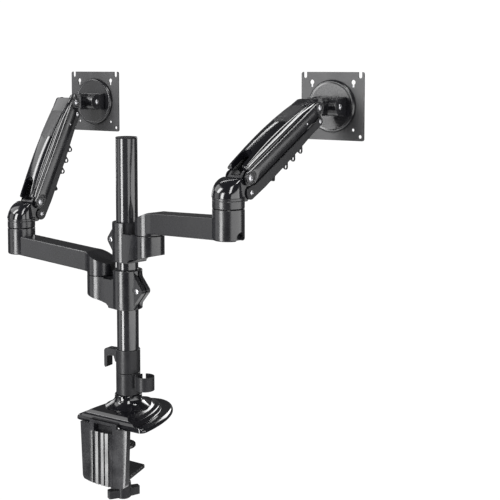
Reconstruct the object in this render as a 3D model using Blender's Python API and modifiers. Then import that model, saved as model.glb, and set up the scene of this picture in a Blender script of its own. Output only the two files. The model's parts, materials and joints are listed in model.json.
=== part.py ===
"""Two-arm desk clamp monitor arm, one named mesh per physical piece, metres, +Z up."""
import math
from math import cos, pi, radians, sin, sqrt

import bmesh
import bpy
from mathutils import Matrix, Vector

MM = 0.001
GAP = 0.3

# pole and base
POLE_R, POLE_BORE, POLE_FOOT, POLE_TOP = 17.5, 15.3, 5.8, 456.0
PLATE_T = 5.3
TIERS = ((68.5, 141.0, -50.6, 0.4, 9), (69.5, 142.0, -51.0, 2.6, 9), (68.6, 140.6, -51.6, 6.2, 8.5),
         (65.0, 136.0, -51.2, 8.8, 7), (54.0, 122.0, -54.0, 9.6, 1), (51.0, 118.0, -55.0, 15.2, 0.5),
         (43.5, 108.0, -55.0, 17.0, 0.5), (38.5, 101.0, -50.0, 22.0, 0.5))
TIER_N, CORNER_N = 24, 4
DOME = ((37.0, 22.3), (35.5, 25.0), (28.0, 31.0), (23.0, 32.5), (22.0, 35.0), (22.0, 41.8))

# clamp
CLAMP_X = -5.0
FACE_Y, BACK_Y = -58.0, -47.0
WALL, RECESS = 4.0, 9.0
SCREW_XY = (-5.0, -8.0)
SCREW_R = 5.0
JAW_Z = -80.0
JAW_T = 5.0

# cable clips
CLIP_IN, CLIP_OUT = 17.95, 19.6
LOW_CLIP = (42.2, 77.0)
TOP_CLIP = (77.4, 115.0)
LOOP_X, LOOP_SPAN = 35.5, (-212, 126)

# lower arms: everything below is measured from the swivel plane between barrel and hub
BARREL_R = 23.4
BARREL_D = 58.0
COLLAR_R, LINER_R = 24.0, 19.3
COLLAR_LO, COLLAR_HI = -49.0, 14.4
ARM_L = 189.0
ARM_HALF = 17.0
BEAM_LO, BEAM_RISE, BEAM_H = 3.0, 0.062, 33.0
BOSS_R = 23.5
BOSS_LO, BOSS_HI = 14.8, 60.2
PIN_R = 5.5

# spring arm: yoke frame, x forward, z up, origin on the elbow axis at the boss top
REAR = (26.2, 41.7)
LINK_DROP = (6.0, -21.5)
LINK_L = 192.4
UP_HALF, UP_WALL = 20.0, 2.2
LOW_HALF, LOW_WALL = 16.6, 2.0
TONGUE_HALF, SLOT_HALF = 13.4, 8.6
COVER_END = 195.2
CROWN_ARCH = 5.0
LINK_CLIPS = ((52, 4.4, 1.4, 6.0), (86, 7.0, 2.9, 13.9), (107, 7.0, 2.9, 13.9), (128, 7.0, 2.9, 13.9))
GAS_AT = (151.0, -3.0)
GAS_TILT = radians(2.6)
PAN_D = 19.5
TILT_D = 22.6
FACE_D = 52.6

SIDES = {
    "r": dict(plane=307.6, barrel=-13.7, beam=-15.5, yaw=82.7, lift=29.9, gas=152.2, head=90.0),
    "l": dict(plane=230.6, barrel=176.1, beam=177.2, yaw=84.6, lift=63.2, gas=158.2, head=90.0),
}

PAINTS = {
    "painted_black": ((0.012, 0.012, 0.013), 0.35, 0.0),
    "gloss_black": ((0.008, 0.008, 0.009), 0.18, 0.0),
    "plastic_black": ((0.015, 0.015, 0.016), 0.5, 0.0),
    "pole_black": ((0.010, 0.010, 0.011), 0.22, 0.0),
    "screw_steel": ((0.75, 0.75, 0.76), 0.3, 1.0),
    "rod_steel": ((0.7, 0.7, 0.72), 0.2, 1.0),
    "plate_black": ((0.03, 0.03, 0.032), 0.6, 0.0),
}

for old in list(bpy.data.objects):
    bpy.data.objects.remove(old, do_unlink=True)

scene = bpy.context.scene
parts = bpy.data.collections.new("monitor_arm")
cutters = bpy.data.collections.new("cutters")
scene.collection.children.link(parts)
scene.collection.children.link(cutters)


def paint(obj, kind):
    color, rough, metal = PAINTS[kind]
    mat = bpy.data.materials.new(obj.name + "_" + kind)
    mat.use_nodes = True
    shader = mat.node_tree.nodes["Principled BSDF"]
    shader.inputs["Base Color"].default_value = (*color, 1.0)
    shader.inputs["Roughness"].default_value = rough
    shader.inputs["Metallic"].default_value = metal
    obj.data.materials.clear()
    obj.data.materials.append(mat)


def place(mesh, name, frame, kind=None, tool=False):
    obj = bpy.data.objects.new(name, mesh)
    (cutters if tool else parts).objects.link(obj)
    obj.matrix_world = frame
    if tool:
        obj.hide_render = True
        obj.display_type = 'WIRE'
    elif kind:
        paint(obj, kind)
    return obj


def outline_mesh(name, loops, lo, hi):
    """Closed 2D loops in mm, the first outside and the others holes, filled and extruded from lo to hi."""
    curve = bpy.data.curves.new(name, 'CURVE')
    curve.dimensions = '2D'
    curve.fill_mode = 'BOTH'
    curve.extrude = (hi - lo) * MM / 2
    for loop in loops:
        spline = curve.splines.new('POLY')
        spline.points.add(len(loop) - 1)
        for point, (x, y) in zip(spline.points, loop):
            point.co = (x * MM, y * MM, 0.0, 1.0)
        spline.use_cyclic_u = True
    temp = bpy.data.objects.new(name, curve)
    scene.collection.objects.link(temp)
    bpy.context.view_layer.update()
    mesh = bpy.data.meshes.new_from_object(temp.evaluated_get(bpy.context.evaluated_depsgraph_get()))
    bpy.data.objects.remove(temp, do_unlink=True)
    bm = bmesh.new()
    bm.from_mesh(mesh)
    bmesh.ops.remove_doubles(bm, verts=bm.verts, dist=1e-6)
    bmesh.ops.translate(bm, verts=bm.verts, vec=(0, 0, (hi + lo) * MM / 2))
    bmesh.ops.dissolve_limit(bm, angle_limit=radians(0.2), verts=bm.verts, edges=bm.edges)
    bmesh.ops.recalc_face_normals(bm, faces=bm.faces)
    bm.to_mesh(mesh)
    bm.free()
    mesh.name = name
    mesh.materials.clear()
    return mesh


def turned_mesh(name, profile, steps=24):
    """Profile (radius, height) in mm, run round the local Z axis; a profile off the axis is a closed ring."""
    mesh = bpy.data.meshes.new(name)
    closed = profile[0][0] > 1e-6
    count = len(profile)
    edges = [(i, i + 1) for i in range(count - 1)] + ([(count - 1, 0)] if closed else [])
    mesh.from_pydata([(r * MM, 0, z * MM) for r, z in profile], edges, [])
    temp = bpy.data.objects.new(name, mesh)
    scene.collection.objects.link(temp)
    screw = temp.modifiers.new("turn", 'SCREW')
    screw.steps = screw.render_steps = steps
    screw.use_merge_vertices = True
    screw.merge_threshold = 1e-5
    bpy.context.view_layer.update()
    made = bpy.data.meshes.new_from_object(temp.evaluated_get(bpy.context.evaluated_depsgraph_get()))
    bpy.data.objects.remove(temp, do_unlink=True)
    bm = bmesh.new()
    bm.from_mesh(made)
    bmesh.ops.remove_doubles(bm, verts=bm.verts, dist=1e-6)
    bmesh.ops.recalc_face_normals(bm, faces=bm.faces)
    bm.to_mesh(made)
    bm.free()
    made.name = name
    return made


def loft_mesh(name, rings):
    """Rings of equal point counts, each a list of (x, y, z) in mm, skinned in order with both ends filled."""
    bm = bmesh.new()
    rows = [[bm.verts.new((x * MM, y * MM, z * MM)) for x, y, z in ring] for ring in rings]
    n = len(rows[0])
    for low, high in zip(rows, rows[1:]):
        for i in range(n):
            bm.faces.new((low[i], low[(i + 1) % n], high[(i + 1) % n], high[i]))
    bm.faces.new(list(reversed(rows[0])))
    bm.faces.new(rows[-1])
    bmesh.ops.recalc_face_normals(bm, faces=bm.faces)
    mesh = bpy.data.meshes.new(name)
    bm.to_mesh(mesh)
    bm.free()
    return mesh


def box_loop(x0, x1, y0, y1):
    return [(x0, y0), (x1, y0), (x1, y1), (x0, y1)]


def arc(cx, cy, r, a0, a1, n):
    return [(cx + r * cos(radians(a0 + (a1 - a0) * i / n)), cy + r * sin(radians(a0 + (a1 - a0) * i / n)))
            for i in range(n + 1)]


def circle(cx, cy, r, n=32):
    return arc(cx, cy, r, 0, 360, n)[:-1]


def rounded(value, power):
    """Signed power, which squares off an ellipse."""
    return math.copysign(abs(value) ** power, value)


def capsule_hull(a, ra, b, rb, n=12):
    """Outline round two circles and their outer tangents."""
    dx, dy = b[0] - a[0], b[1] - a[1]
    d = sqrt(dx * dx + dy * dy)
    base = math.degrees(math.atan2(dy, dx))
    off = math.degrees(math.acos((ra - rb) / d))
    return (arc(*b, rb, base - off, base + off, n) + arc(*a, ra, base + off, base + 360 - off, n))


def turn_z(angle):
    return Matrix.Rotation(radians(angle), 4, 'Z')


def shift(x, y, z):
    return Matrix.Translation((x * MM, y * MM, z * MM))


ALONG_Y = Matrix.Rotation(radians(90), 4, 'X')
ALONG_X = Matrix.Rotation(radians(90), 4, 'Y')


def boolean(obj, tool, operation='DIFFERENCE', solver='EXACT'):
    mod = obj.modifiers.new("cut" if operation == 'DIFFERENCE' else "join", 'BOOLEAN')
    mod.operation = operation
    mod.solver = solver
    mod.object = tool


def rod(name, frame, r, lo, hi, n=16, tool=True, kind=None):
    return place(outline_mesh(name, [circle(0, 0, r, n)], lo, hi), name, frame, kind, tool)


def block(name, frame, x0, x1, y0, y1, z0, z1):
    return place(outline_mesh(name, [box_loop(x0, x1, y0, y1)], z0, z1), name, frame, tool=True)


def smooth(obj):
    for face in obj.data.polygons:
        face.use_smooth = True


def headed_pin(name, frame, r, half, head_r, head_t, kind="screw_steel", steps=12):
    """Cross pin with a domed head at each end; the heads start at plus and minus half."""
    top = half + head_t
    profile = [(0, top), (head_r * 0.75, top), (head_r, half), (r, half),
               (r, -half), (head_r, -half), (head_r * 0.75, -top), (0, -top)]
    obj = place(turned_mesh(name, profile, steps), name, frame, kind)
    smooth(obj)
    return obj


# ---------------------------------------------------------------- base
def tier(hw, depth, front, z, corner=0.5, n=TIER_N):
    """Half ellipse behind a straight front edge, with rounded front corners."""
    ring = [(hw * cos(pi * i / n), front + corner + (depth - corner) * sin(pi * i / n), z) for i in range(n + 1)]
    for cx, a0 in ((-hw + corner, 180), (hw - corner, 270)):
        ring += [(x, y, z) for x, y in arc(cx, front + corner, corner, a0, a0 + 90, CORNER_N)][1:]
    return ring[:-1]


def inner_tier(hw, depth, front, z, t):
    return tier(hw - t, depth - 2 * t, front + t, z)


WORLD = Matrix.Identity(4)
half_oval = lambda hw, depth, front: [(x, y) for x, y, _ in tier(hw, depth, front, 0)]

place(outline_mesh("base_plate", [half_oval(63.5, 131, -46)], 0, PLATE_T),
      "base_plate", WORLD, "painted_black")

base_cover = place(loft_mesh("base_cover", [tier(*t) for t in TIERS]), "base_cover", WORLD,
                   "gloss_black")
hollow = [inner_tier(68.5, 140.0, -50.0, -1.0, 3.5), inner_tier(68.5, 140.0, -50.0, 5.6, 3.5),
          inner_tier(50.0, 117.0, -53.0, 8.2, 3.0), inner_tier(48.0, 112.0, -53.0, 13.0, 3.0),
          inner_tier(39.0, 101.0, -51.0, 19.0, 3.0)]
boolean(base_cover, place(loft_mesh("cover_hollow", hollow), "cover_hollow", WORLD, tool=True))
boolean(base_cover, rod("cover_pole_hole", WORLD, POLE_R + 0.5, 10, 30, 24))
boolean(base_cover, block("cover_front_slot", WORLD, CLAMP_X - 30, CLAMP_X + 30, -60, -45, -2, 9.6))

place(turned_mesh("pole_flange", [*reversed(DOME), (POLE_R + 0.4, DOME[0][1]),
                                  (POLE_R + 0.4, DOME[-1][1])], 32),
      "pole_flange", WORLD, "gloss_black")

place(turned_mesh("pole", [(POLE_R, POLE_TOP), (POLE_R, POLE_FOOT), (POLE_BORE, POLE_FOOT),
                           (POLE_BORE, POLE_TOP)], 36), "pole", WORLD, "pole_black")
place(turned_mesh("pole_cap", [(0, 459.0), (16.6, 459.0), (17.7, 458.2), (17.7, 456.3),
                               (POLE_BORE - GAP, 456.3), (POLE_BORE - GAP, 446.0),
                               (0, 446.0)], 24), "pole_cap", WORLD, "plastic_black")

# clamp bracket: front face with shallow ribs, side returns and a tab over the base plate
bx = CLAMP_X
face = [(bx - 47, 2), (bx - 43.5, -80), (bx - 20, -95), (bx + 20, -95), (bx + 43.5, -80), (bx + 47, 2),
        (bx + 27, 2), (bx + 27, 9.2), (bx - 27, 9.2), (bx - 27, 2)]
clamp_bracket = place(outline_mesh("clamp_bracket", [face], -BACK_Y, -FACE_Y), "clamp_bracket",
                      ALONG_Y, "painted_black")
pocket = [(bx - 43, 20), (bx - 39.8, -78), (bx - 39.8, -110), (bx + 39.8, -110), (bx + 39.8, -78),
          (bx + 43, 20), (bx + 22, 20), (bx + 22, -12), (bx - 22, -12), (bx - 22, 20)]
boolean(clamp_bracket, place(outline_mesh("bracket_pocket", [pocket], -BACK_Y - 5, -FACE_Y - WALL),
                             "bracket_pocket", ALONG_Y, tool=True))
recess = box_loop(bx - 19, bx + 19, -9, 4.6)
boolean(clamp_bracket, place(outline_mesh("bracket_recess", [recess], -FACE_Y - RECESS, -FACE_Y + 2),
                             "bracket_recess", ALONG_Y, tool=True))
for i, (g0, g1) in enumerate(((-22.5, -16.0), (-11.0, -4.5), (1.0, 3.0), (7.5, 15.5))):
    boolean(clamp_bracket, block("bracket_groove_%d" % i, WORLD, bx + g0, bx + g1, FACE_Y - 1,
                                 FACE_Y + 2.0, -100, -8.5))
boolean(clamp_bracket, block("lip_room", WORLD, bx - 60, bx + 60, -51.3, -40, -0.2, 5.5))
tab = block("bracket_tab", WORLD, bx - 27, bx + 27, FACE_Y + 0.5, -30, 5.6, 9.2)
boolean(clamp_bracket, tab, 'UNION')

jx, jy = SCREW_XY
jaw_outline = [(bx + 38, -53.7), (bx + 34, -30), (bx + 24, 15), (bx + 19, 20), (bx - 19, 20),
               (bx - 24, 15), (bx - 34, -30), (bx - 38, -53.7)]
clamp_jaw = place(outline_mesh("clamp_jaw", [jaw_outline], JAW_Z - JAW_T, JAW_Z), "clamp_jaw", WORLD,
                  "painted_black")
boolean(clamp_jaw, block("jaw_flange", WORLD, bx - 30, bx + 30, -53.7, -49.7, JAW_Z - 2.0, -52), 'UNION')
boolean(clamp_jaw, rod("jaw_boss", shift(jx, jy, 0), 10, JAW_Z - 12, JAW_Z - 1, 20), 'UNION')
boolean(clamp_jaw, rod("jaw_thread", shift(jx, jy, 0), SCREW_R + GAP, JAW_Z - 20, JAW_Z + 10))

screw_frame = shift(jx, jy, 0)
place(turned_mesh("clamp_screw", [(0, -48.0), (3.4, -48.0), (3.4, -55.5), (SCREW_R, -57.0),
                                  (SCREW_R, -126.0), (4.2, -127.0), (0, -127.0)], 16),
      "clamp_screw", screw_frame, "rod_steel")
wing = [(-6, 8), (-25, 5.5), (-26.5, 3), (-26.5, -3), (-25, -5.5), (-6, -8), (6, -8), (25, -5.5),
        (26.5, -3), (26.5, 3), (25, 5.5), (6, 8)]
clamp_knob = place(outline_mesh("clamp_knob", [wing], -127.5, -114.5), "clamp_knob",
                   screw_frame @ turn_z(60), "plastic_black")
boolean(clamp_knob, rod("knob_hub", screw_frame, 12, -129.5, -103, 20), 'UNION')
boolean(clamp_knob, rod("knob_bore", screw_frame, SCREW_R + GAP, -127.3, -100))
place(turned_mesh("pressure_pad", [(0, -40.0), (18.5, -40.0), (20.0, -41.5),
                                   (20.0, -44.5), (8.5, -47.5), (7.5, -54.5),
                                   (3.8, -54.5), (3.8, -47.6), (0, -47.6)], 24),
      "pressure_pad", screw_frame, "painted_black")

# cable clips
clip_ring = lambda name, lo, hi: turned_mesh(name, [(CLIP_OUT - 0.4, hi), (CLIP_OUT, hi - 0.5),
                                                    (CLIP_OUT, lo + 0.5), (CLIP_OUT - 0.4, lo),
                                                    (CLIP_IN, lo), (CLIP_IN, hi)], 24)
clip_lower = place(clip_ring("cable_clip_lower", *LOW_CLIP), "cable_clip_lower", WORLD, "plastic_black")
loop = arc(LOOP_X, 0, 15.0, *LOOP_SPAN, 20) + list(reversed(arc(LOOP_X, 0, 12.6, *LOOP_SPAN, 20)))
hook_frame = turn_z(-2)
boolean(clip_lower, place(outline_mesh("loop_hook", [loop], 53, 75.5), "loop_hook", hook_frame,
                          tool=True), 'UNION')
boolean(clip_lower, block("loop_neck", hook_frame, 18.6, 21.9, -6, 6, 53, 75.5), 'UNION')
clip_upper = place(clip_ring("cable_clip_upper", *TOP_CLIP), "cable_clip_upper", WORLD, "plastic_black")
hook = [(18.5, 92), (18.5, 112), (38, 112), (42, 110.5), (43.5, 107), (43.5, 83), (41.5, 80), (37.5, 81.5),
        (37.5, 98), (34, 102), (24, 101), (21, 92)]
boolean(clip_upper, place(outline_mesh("hook_arm", [hook], -7.5, 7.5), "hook_arm",
                          turn_z(182) @ ALONG_Y, tool=True), 'UNION')


# ---------------------------------------------------------------- arms
def build_side(s, c):
    z0 = c["plane"]

    # liner and clamp collar round the pole, ears on the side away from the barrel
    lift = shift(0, 0, z0)
    collar_frame = lift @ turn_z(c["barrel"])
    place(turned_mesh("pole_liner_" + s, [(LINER_R, COLLAR_HI - 1), (LINER_R, COLLAR_LO + 1),
                                          (POLE_R + 0.3, COLLAR_LO + 1),
                                          (POLE_R + 0.3, COLLAR_HI - 1)], 24),
          "pole_liner_" + s, lift, "plastic_black")
    collar = place(turned_mesh("collar_" + s, [(0, COLLAR_HI), (COLLAR_R - 1.2, COLLAR_HI),
                                               (COLLAR_R, COLLAR_HI - 1.2), (COLLAR_R, COLLAR_LO + 1.2),
                                               (COLLAR_R - 1.2, COLLAR_LO), (0, COLLAR_LO)], 28),
                   "collar_" + s, collar_frame, "painted_black")
    boolean(collar, place(turned_mesh("barrel_" + s, [(0, -0.6), (BARREL_R - 0.8, -0.6),
                                                      (BARREL_R, -1.4), (BARREL_R, -50), (0, -50)], 28),
                          "barrel_" + s, collar_frame @ shift(BARREL_D, 0, 0), tool=True), 'UNION')
    web = [(6, -21), (24, -19.5), (40, -19.5), (52, -22), (52, 22), (40, 19.5), (24, 19.5), (6, 21)]
    boolean(collar, place(outline_mesh("collar_web_" + s, [web], -49, -0.9), "collar_web_" + s,
                          collar_frame, tool=True), 'UNION')
    under = [(20, -60), (90, -60), (90, -28), (30, -42.5), (25.5, -46)]
    boolean(collar, place(outline_mesh("collar_under_" + s, [under], -30, 30), "collar_under_" + s,
                          collar_frame @ ALONG_Y, tool=True))
    mid = (COLLAR_LO + COLLAR_HI) / 2
    ear = [(-15, mid - 30.5), (-22.5, mid - 30.5), (-24.5, mid - 21), (-38.5, mid - 6), (-40, mid),
           (-38.5, mid + 6), (-24.5, mid + 21), (-22.5, mid + 30.5), (-15, mid + 30.5)]
    boolean(collar, place(outline_mesh("collar_ear_" + s, [ear], -10, 10), "collar_ear_" + s,
                          collar_frame @ ALONG_Y, tool=True), 'UNION')
    boolean(collar, rod("collar_bore_" + s, lift, LINER_R + GAP, -70, 40, 24))
    boolean(collar, block("collar_slit_" + s, collar_frame, -50, -10, -1.6, 1.6, -70, 40))
    side = -1 if s == "r" else 1
    notch_frame = collar_frame @ turn_z(30 * side)
    boolean(collar, block("collar_notch_" + s, notch_frame, 12, 40, -9.5, 9.5, COLLAR_HI - 17, 40))
    bolt_frame = collar_frame @ shift(-29.5, 0, mid) @ ALONG_Y
    boolean(collar, rod("collar_bolt_bore_" + s, bolt_frame, 2.8, -20, 20, 14))
    headed_pin("collar_bolt_" + s, bolt_frame, 2.5, 10.1, 4.4, 2.6)
    barrel_frame = collar_frame @ shift(BARREL_D, 0, 0)
    boolean(collar, rod("barrel_bore_" + s, barrel_frame, PIN_R + GAP, -26.3, 5))

    # lower arm: hub, rising hollow beam, elbow boss
    swivel = Vector((BARREL_D, 0, 0, 1))
    jx, jy, _, _ = (turn_z(c["barrel"]) @ swivel)
    arm_frame = shift(jx, jy, z0) @ turn_z(c["beam"])
    arm = place(turned_mesh("lower_arm_" + s, [(0, 42), (BARREL_R, 42), (BARREL_R, 1.0),
                                               (BARREL_R - 1, 0), (0, 0)], 28),
                "lower_arm_" + s, arm_frame, "painted_black")
    bar = lambda x: BEAM_LO + BEAM_RISE * x
    top_cut = [(-30, 16), (-30, 60), (40, 60), (40, bar(40) + BEAM_H), (17, bar(17) + BEAM_H), (8, 33)]
    hub_cut = place(outline_mesh("hub_cut_" + s, [top_cut], -30, 30), "hub_cut_" + s,
                    arm_frame @ ALONG_Y, tool=True)
    boolean(arm, hub_cut)
    rings = []
    for x, half in ((4, ARM_HALF + 4), (14, ARM_HALF + 2), (26, ARM_HALF), (160, ARM_HALF),
                    (ARM_L - 10, ARM_HALF)):
        lo, hi = bar(x), bar(x) + BEAM_H
        if x < 17:
            hi = 33 + (x - 8) * (bar(17) + BEAM_H - 33) / 9
        e = 2.2
        rings.append([(x, -half + e, lo), (x, half - e, lo), (x, half, lo + e), (x, half, hi - e),
                      (x, half - e, hi), (x, -half + e, hi), (x, -half, hi - e), (x, -half, lo + e)])
    boolean(arm, place(loft_mesh("beam_" + s, rings), "beam_" + s, arm_frame, tool=True), 'UNION')
    elbow_frame = arm_frame @ shift(ARM_L, 0, 0)
    boolean(arm, place(turned_mesh("boss_" + s, [(0, BOSS_HI), (BOSS_R - 1, BOSS_HI),
                                                 (BOSS_R, BOSS_HI - 1), (BOSS_R, BOSS_LO + 1),
                                                 (BOSS_R - 1, BOSS_LO), (0, BOSS_LO)], 28),
                       "boss_" + s, elbow_frame, tool=True), 'UNION')
    hollow_rings = []
    for x in (30, 150):
        lo, hi = bar(x) - 5, bar(x) + BEAM_H - 4
        hollow_rings.append([(x, -13.5, lo), (x, 13.5, lo), (x, 13.5, hi), (x, -13.5, hi)])
    boolean(arm, place(loft_mesh("beam_hollow_" + s, hollow_rings), "beam_hollow_" + s, arm_frame,
                       tool=True))
    arch = arc(0, BOSS_LO + 5, 8, 0, 180, 8) + [(-8, BOSS_LO - 5), (8, BOSS_LO - 5)]
    boolean(arm, place(outline_mesh("boss_arch_" + s, [arch], -30, -15), "boss_arch_" + s,
                       elbow_frame @ turn_z(-90 + side * -8) @ ALONG_Y, tool=True))
    boolean(arm, rod("arm_bore_" + s, arm_frame, PIN_R + GAP, -5, 14.3))
    boolean(arm, rod("boss_bore_" + s, elbow_frame, PIN_R + GAP, BOSS_HI - 30.3, BOSS_HI + 5))
    cover = [[(x, -13.2, bar(x) + 0.4), (x, 13.2, bar(x) + 0.4), (x, 13.2, bar(x) + 2.4),
              (x, -13.2, bar(x) + 2.4)] for x in (30.3, 149.7)]
    place(loft_mesh("arm_cover_" + s, cover), "arm_cover_" + s, arm_frame, "plastic_black")
    place(turned_mesh("swivel_pin_" + s, [(0, 14), (PIN_R, 14), (PIN_R, -26), (0, -26)], 16),
          "swivel_pin_" + s, arm_frame, "rod_steel")

    # yoke on the elbow: disc and slotted tongue that carries both rear pivots, and its hood
    top = BOSS_HI + 0.6
    ex, ey = jx + ARM_L * cos(radians(c["beam"])), jy + ARM_L * sin(radians(c["beam"]))
    yoke_frame = shift(ex, ey, z0 + top) @ turn_z(c["yaw"])
    side_frame = yoke_frame @ ALONG_Y
    yoke = place(turned_mesh("yoke_" + s, [(0, 15.6), (BOSS_R, 15.6), (BOSS_R, 1), (BOSS_R - 1, 0),
                                           (0, 0)], 28), "yoke_" + s, yoke_frame, "painted_black")
    pivot, low = REAR, (REAR[0] + LINK_DROP[0], REAR[1] + LINK_DROP[1])
    spine = arc(*pivot, 11.3, -15, 128, 8) + [(2, 30), (-12, 14), (-12, 8), (26, 8)]
    spine += arc(*low, 9.3, -100, -10, 5)
    boolean(yoke, place(outline_mesh("tongue_" + s, [spine], -TONGUE_HALF, TONGUE_HALF), "tongue_" + s,
                        side_frame, tool=True), 'UNION')
    slot = [(20, 15.9), (60, 15.9), (60, 60), (16, 60), (14, 30)]
    boolean(yoke, place(outline_mesh("tongue_slot_" + s, [slot], -SLOT_HALF, SLOT_HALF),
                        "tongue_slot_" + s, side_frame, tool=True))
    boolean(yoke, rod("yoke_bore_" + s, yoke_frame, PIN_R + GAP, -5, 12.3))
    for name, at, r in (("a", pivot, 3.5), ("c", low, 3.0)):
        boolean(yoke, rod("yoke_pin_%s_%s" % (name, s), side_frame @ shift(*at, 0), r + GAP, -30, 30, 14))
    place(turned_mesh("elbow_pin_" + s, [(0, 12), (PIN_R, 12), (PIN_R, -29.5), (0, -29.5)], 16),
          "elbow_pin_" + s, yoke_frame, "rod_steel")

    hood_rings = []
    for k in range(9):
        t = sin(pi / 2 * k / 8)
        z = 16.0 + 27.0 * t
        bow = 1 - sqrt(max(0.0, 1 - 0.985 * t * t))
        back = -BOSS_R + 31.0 * bow
        front = 17.5 - 5.5 * min(1.0, 1.3 * t) + (3.0 * (t - 0.75) / 0.25 if t > 0.75 else 0.0)
        half = BOSS_R * (1 - 0.30 * bow)
        mid_x, half_x = (front + back) / 2, (front - back) / 2
        ring = []
        for i in range(28):
            a = 2 * pi * (i + 0.5) / 28
            ring.append((mid_x + half_x * cos(a), half * rounded(sin(a), 0.92), z))
        hood_rings.append(ring)
    hood = place(loft_mesh("hood_" + s, hood_rings), "hood_" + s, yoke_frame, "gloss_black")
    keep_out = [(-12.5, 10), (-12.5, 14.5), (1.5, 30.8), (18.5, 51), (60, 60), (60, 10)]
    boolean(hood, place(outline_mesh("hood_slot_" + s, [keep_out], -TONGUE_HALF - GAP,
                                     TONGUE_HALF + GAP), "hood_slot_" + s, side_frame, tool=True))
    boolean(hood, rod("hood_clear_" + s, side_frame @ shift(*pivot, 0), 13.9, -40, 40, 24))

    # links share the lift angle; x runs from the rear pivot to the front one
    up_frame = yoke_frame @ shift(pivot[0], 0, pivot[1]) @ Matrix.Rotation(-radians(c["lift"]), 4, 'Y')
    low_frame = yoke_frame @ shift(low[0], 0, low[1]) @ Matrix.Rotation(-radians(c["lift"]), 4, 'Y')
    up_side, low_side = up_frame @ ALONG_Y, low_frame @ ALONG_Y
    shell = (arc(0, 0, 12, 95, 260, 10) + [(8, -12.2), (150, -12.5), (180, -11)]
             + arc(LINK_L, 0, 10, -80, 60, 8) + [(184, 11.5), (170, 12), (12, 12)])
    up = place(outline_mesh("upper_link_" + s, [shell], -UP_HALF, UP_HALF), "upper_link_" + s, up_side,
               "painted_black")
    room = [(-30, -30), (230, -30), (230, 30), (176, 30), (176, 9.5), (38, 9.5), (38, 30), (-30, 30)]
    inner = UP_HALF - UP_WALL
    boolean(up, place(outline_mesh("upper_room_" + s, [room], -inner, inner), "upper_room_" + s, up_side,
                      tool=True))
    for name, at, r in (("a", (0, 0), 3.5), ("b", (LINK_L, 0), 3.5), ("g", GAS_AT, 2.5)):
        boolean(up, rod("upper_pin_%s_%s" % (name, s), up_side @ shift(*at, 0), r + GAP, -30, 30, 14))

    crown = []
    for x in (1, 4, 12, 25, 50, 80, 110, 135, 160, 180, 192, COVER_END):
        peak = (21.5 - 7.2 * max(0.0, (x - 50) / 147) ** 2 - 1.5 * max(0.0, (50 - x) / 50) ** 2
                + CROWN_ARCH * sin(pi * x / 196))
        half = 21.6 - 1.2 * abs(x - 90) / 107
        edge = 12.3 + 0.40 * (peak - 12.3)
        if x in (1, COVER_END):
            peak, half = peak - 1.2, half - 0.8
        shape = [(half, 12.3), (half, edge)]
        for i in range(1, 8):
            a = pi * i / 8
            shape.append((half * rounded(cos(a), 0.84) if i != 4 else 0.0,
                          edge + (peak - edge) * sin(a) ** 0.7))
        shape += [(-half, edge), (-half, 12.3)]
        crown.append([(x, y, z) for y, z in shape])
    cover = place(loft_mesh("top_cover_" + s, crown), "top_cover_" + s, up_frame, "gloss_black")
    mouth = [(-20, -10.5), (26, -10.5), (32, -8.5), (35.5, -4.5), (36.5, 0), (35.5, 4.5), (32, 8.5),
             (26, 10.5), (-20, 10.5)]
    boolean(cover, place(outline_mesh("cover_mouth_" + s, [mouth], 5, 40), "cover_mouth_" + s, up_frame,
                         tool=True))

    belly = (arc(0, 0, 10.4, 90, 255, 10) + [(30, -11.5), (110, -10), (165, -7)]
             + arc(LINK_L, 0, 7.0, -85, 90, 8) + [(184, 6), (12, 6), (8, 9)])
    low_link = place(outline_mesh("lower_link_" + s, [belly], -LOW_HALF, LOW_HALF), "lower_link_" + s,
                     low_side, "plastic_black")
    for i, (x, drop, eye_r, back) in enumerate(LINK_CLIPS):
        floor = -11.5 + 1.5 * (x - 30) / 80
        clip = [(x - 7, floor + 2), (x - 5.4, floor - drop + 2.2), (x - 3.2, floor - drop),
                (x + 3.2, floor - drop), (x + 5.4, floor - drop + 2.2), (x + 7, floor + 2)]
        eye = circle(x, floor - drop + eye_r + 1.3, eye_r, 12)
        boolean(low_link, place(outline_mesh("clip_%d_%s" % (i, s), [clip, eye], back, 16.3),
                                "clip_%d_%s" % (i, s), low_side, tool=True), 'UNION')
    inner = LOW_HALF - LOW_WALL
    tray = [(-30, -30), (14, -30), (14, -8.6), (110, -7.6), (165, -4.6), (176, -4.6), (176, -30),
            (230, -30), (230, 30), (-30, 30)]
    boolean(low_link, place(outline_mesh("lower_room_" + s, [tray], -inner, inner), "lower_room_" + s,
                            low_side, tool=True))
    for name, at in (("c", (0, 0)), ("d", (LINK_L, 0))):
        boolean(low_link, rod("lower_pin_%s_%s" % (name, s), low_side @ shift(*at, 0), 3.3, -30, 30, 14))

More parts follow.
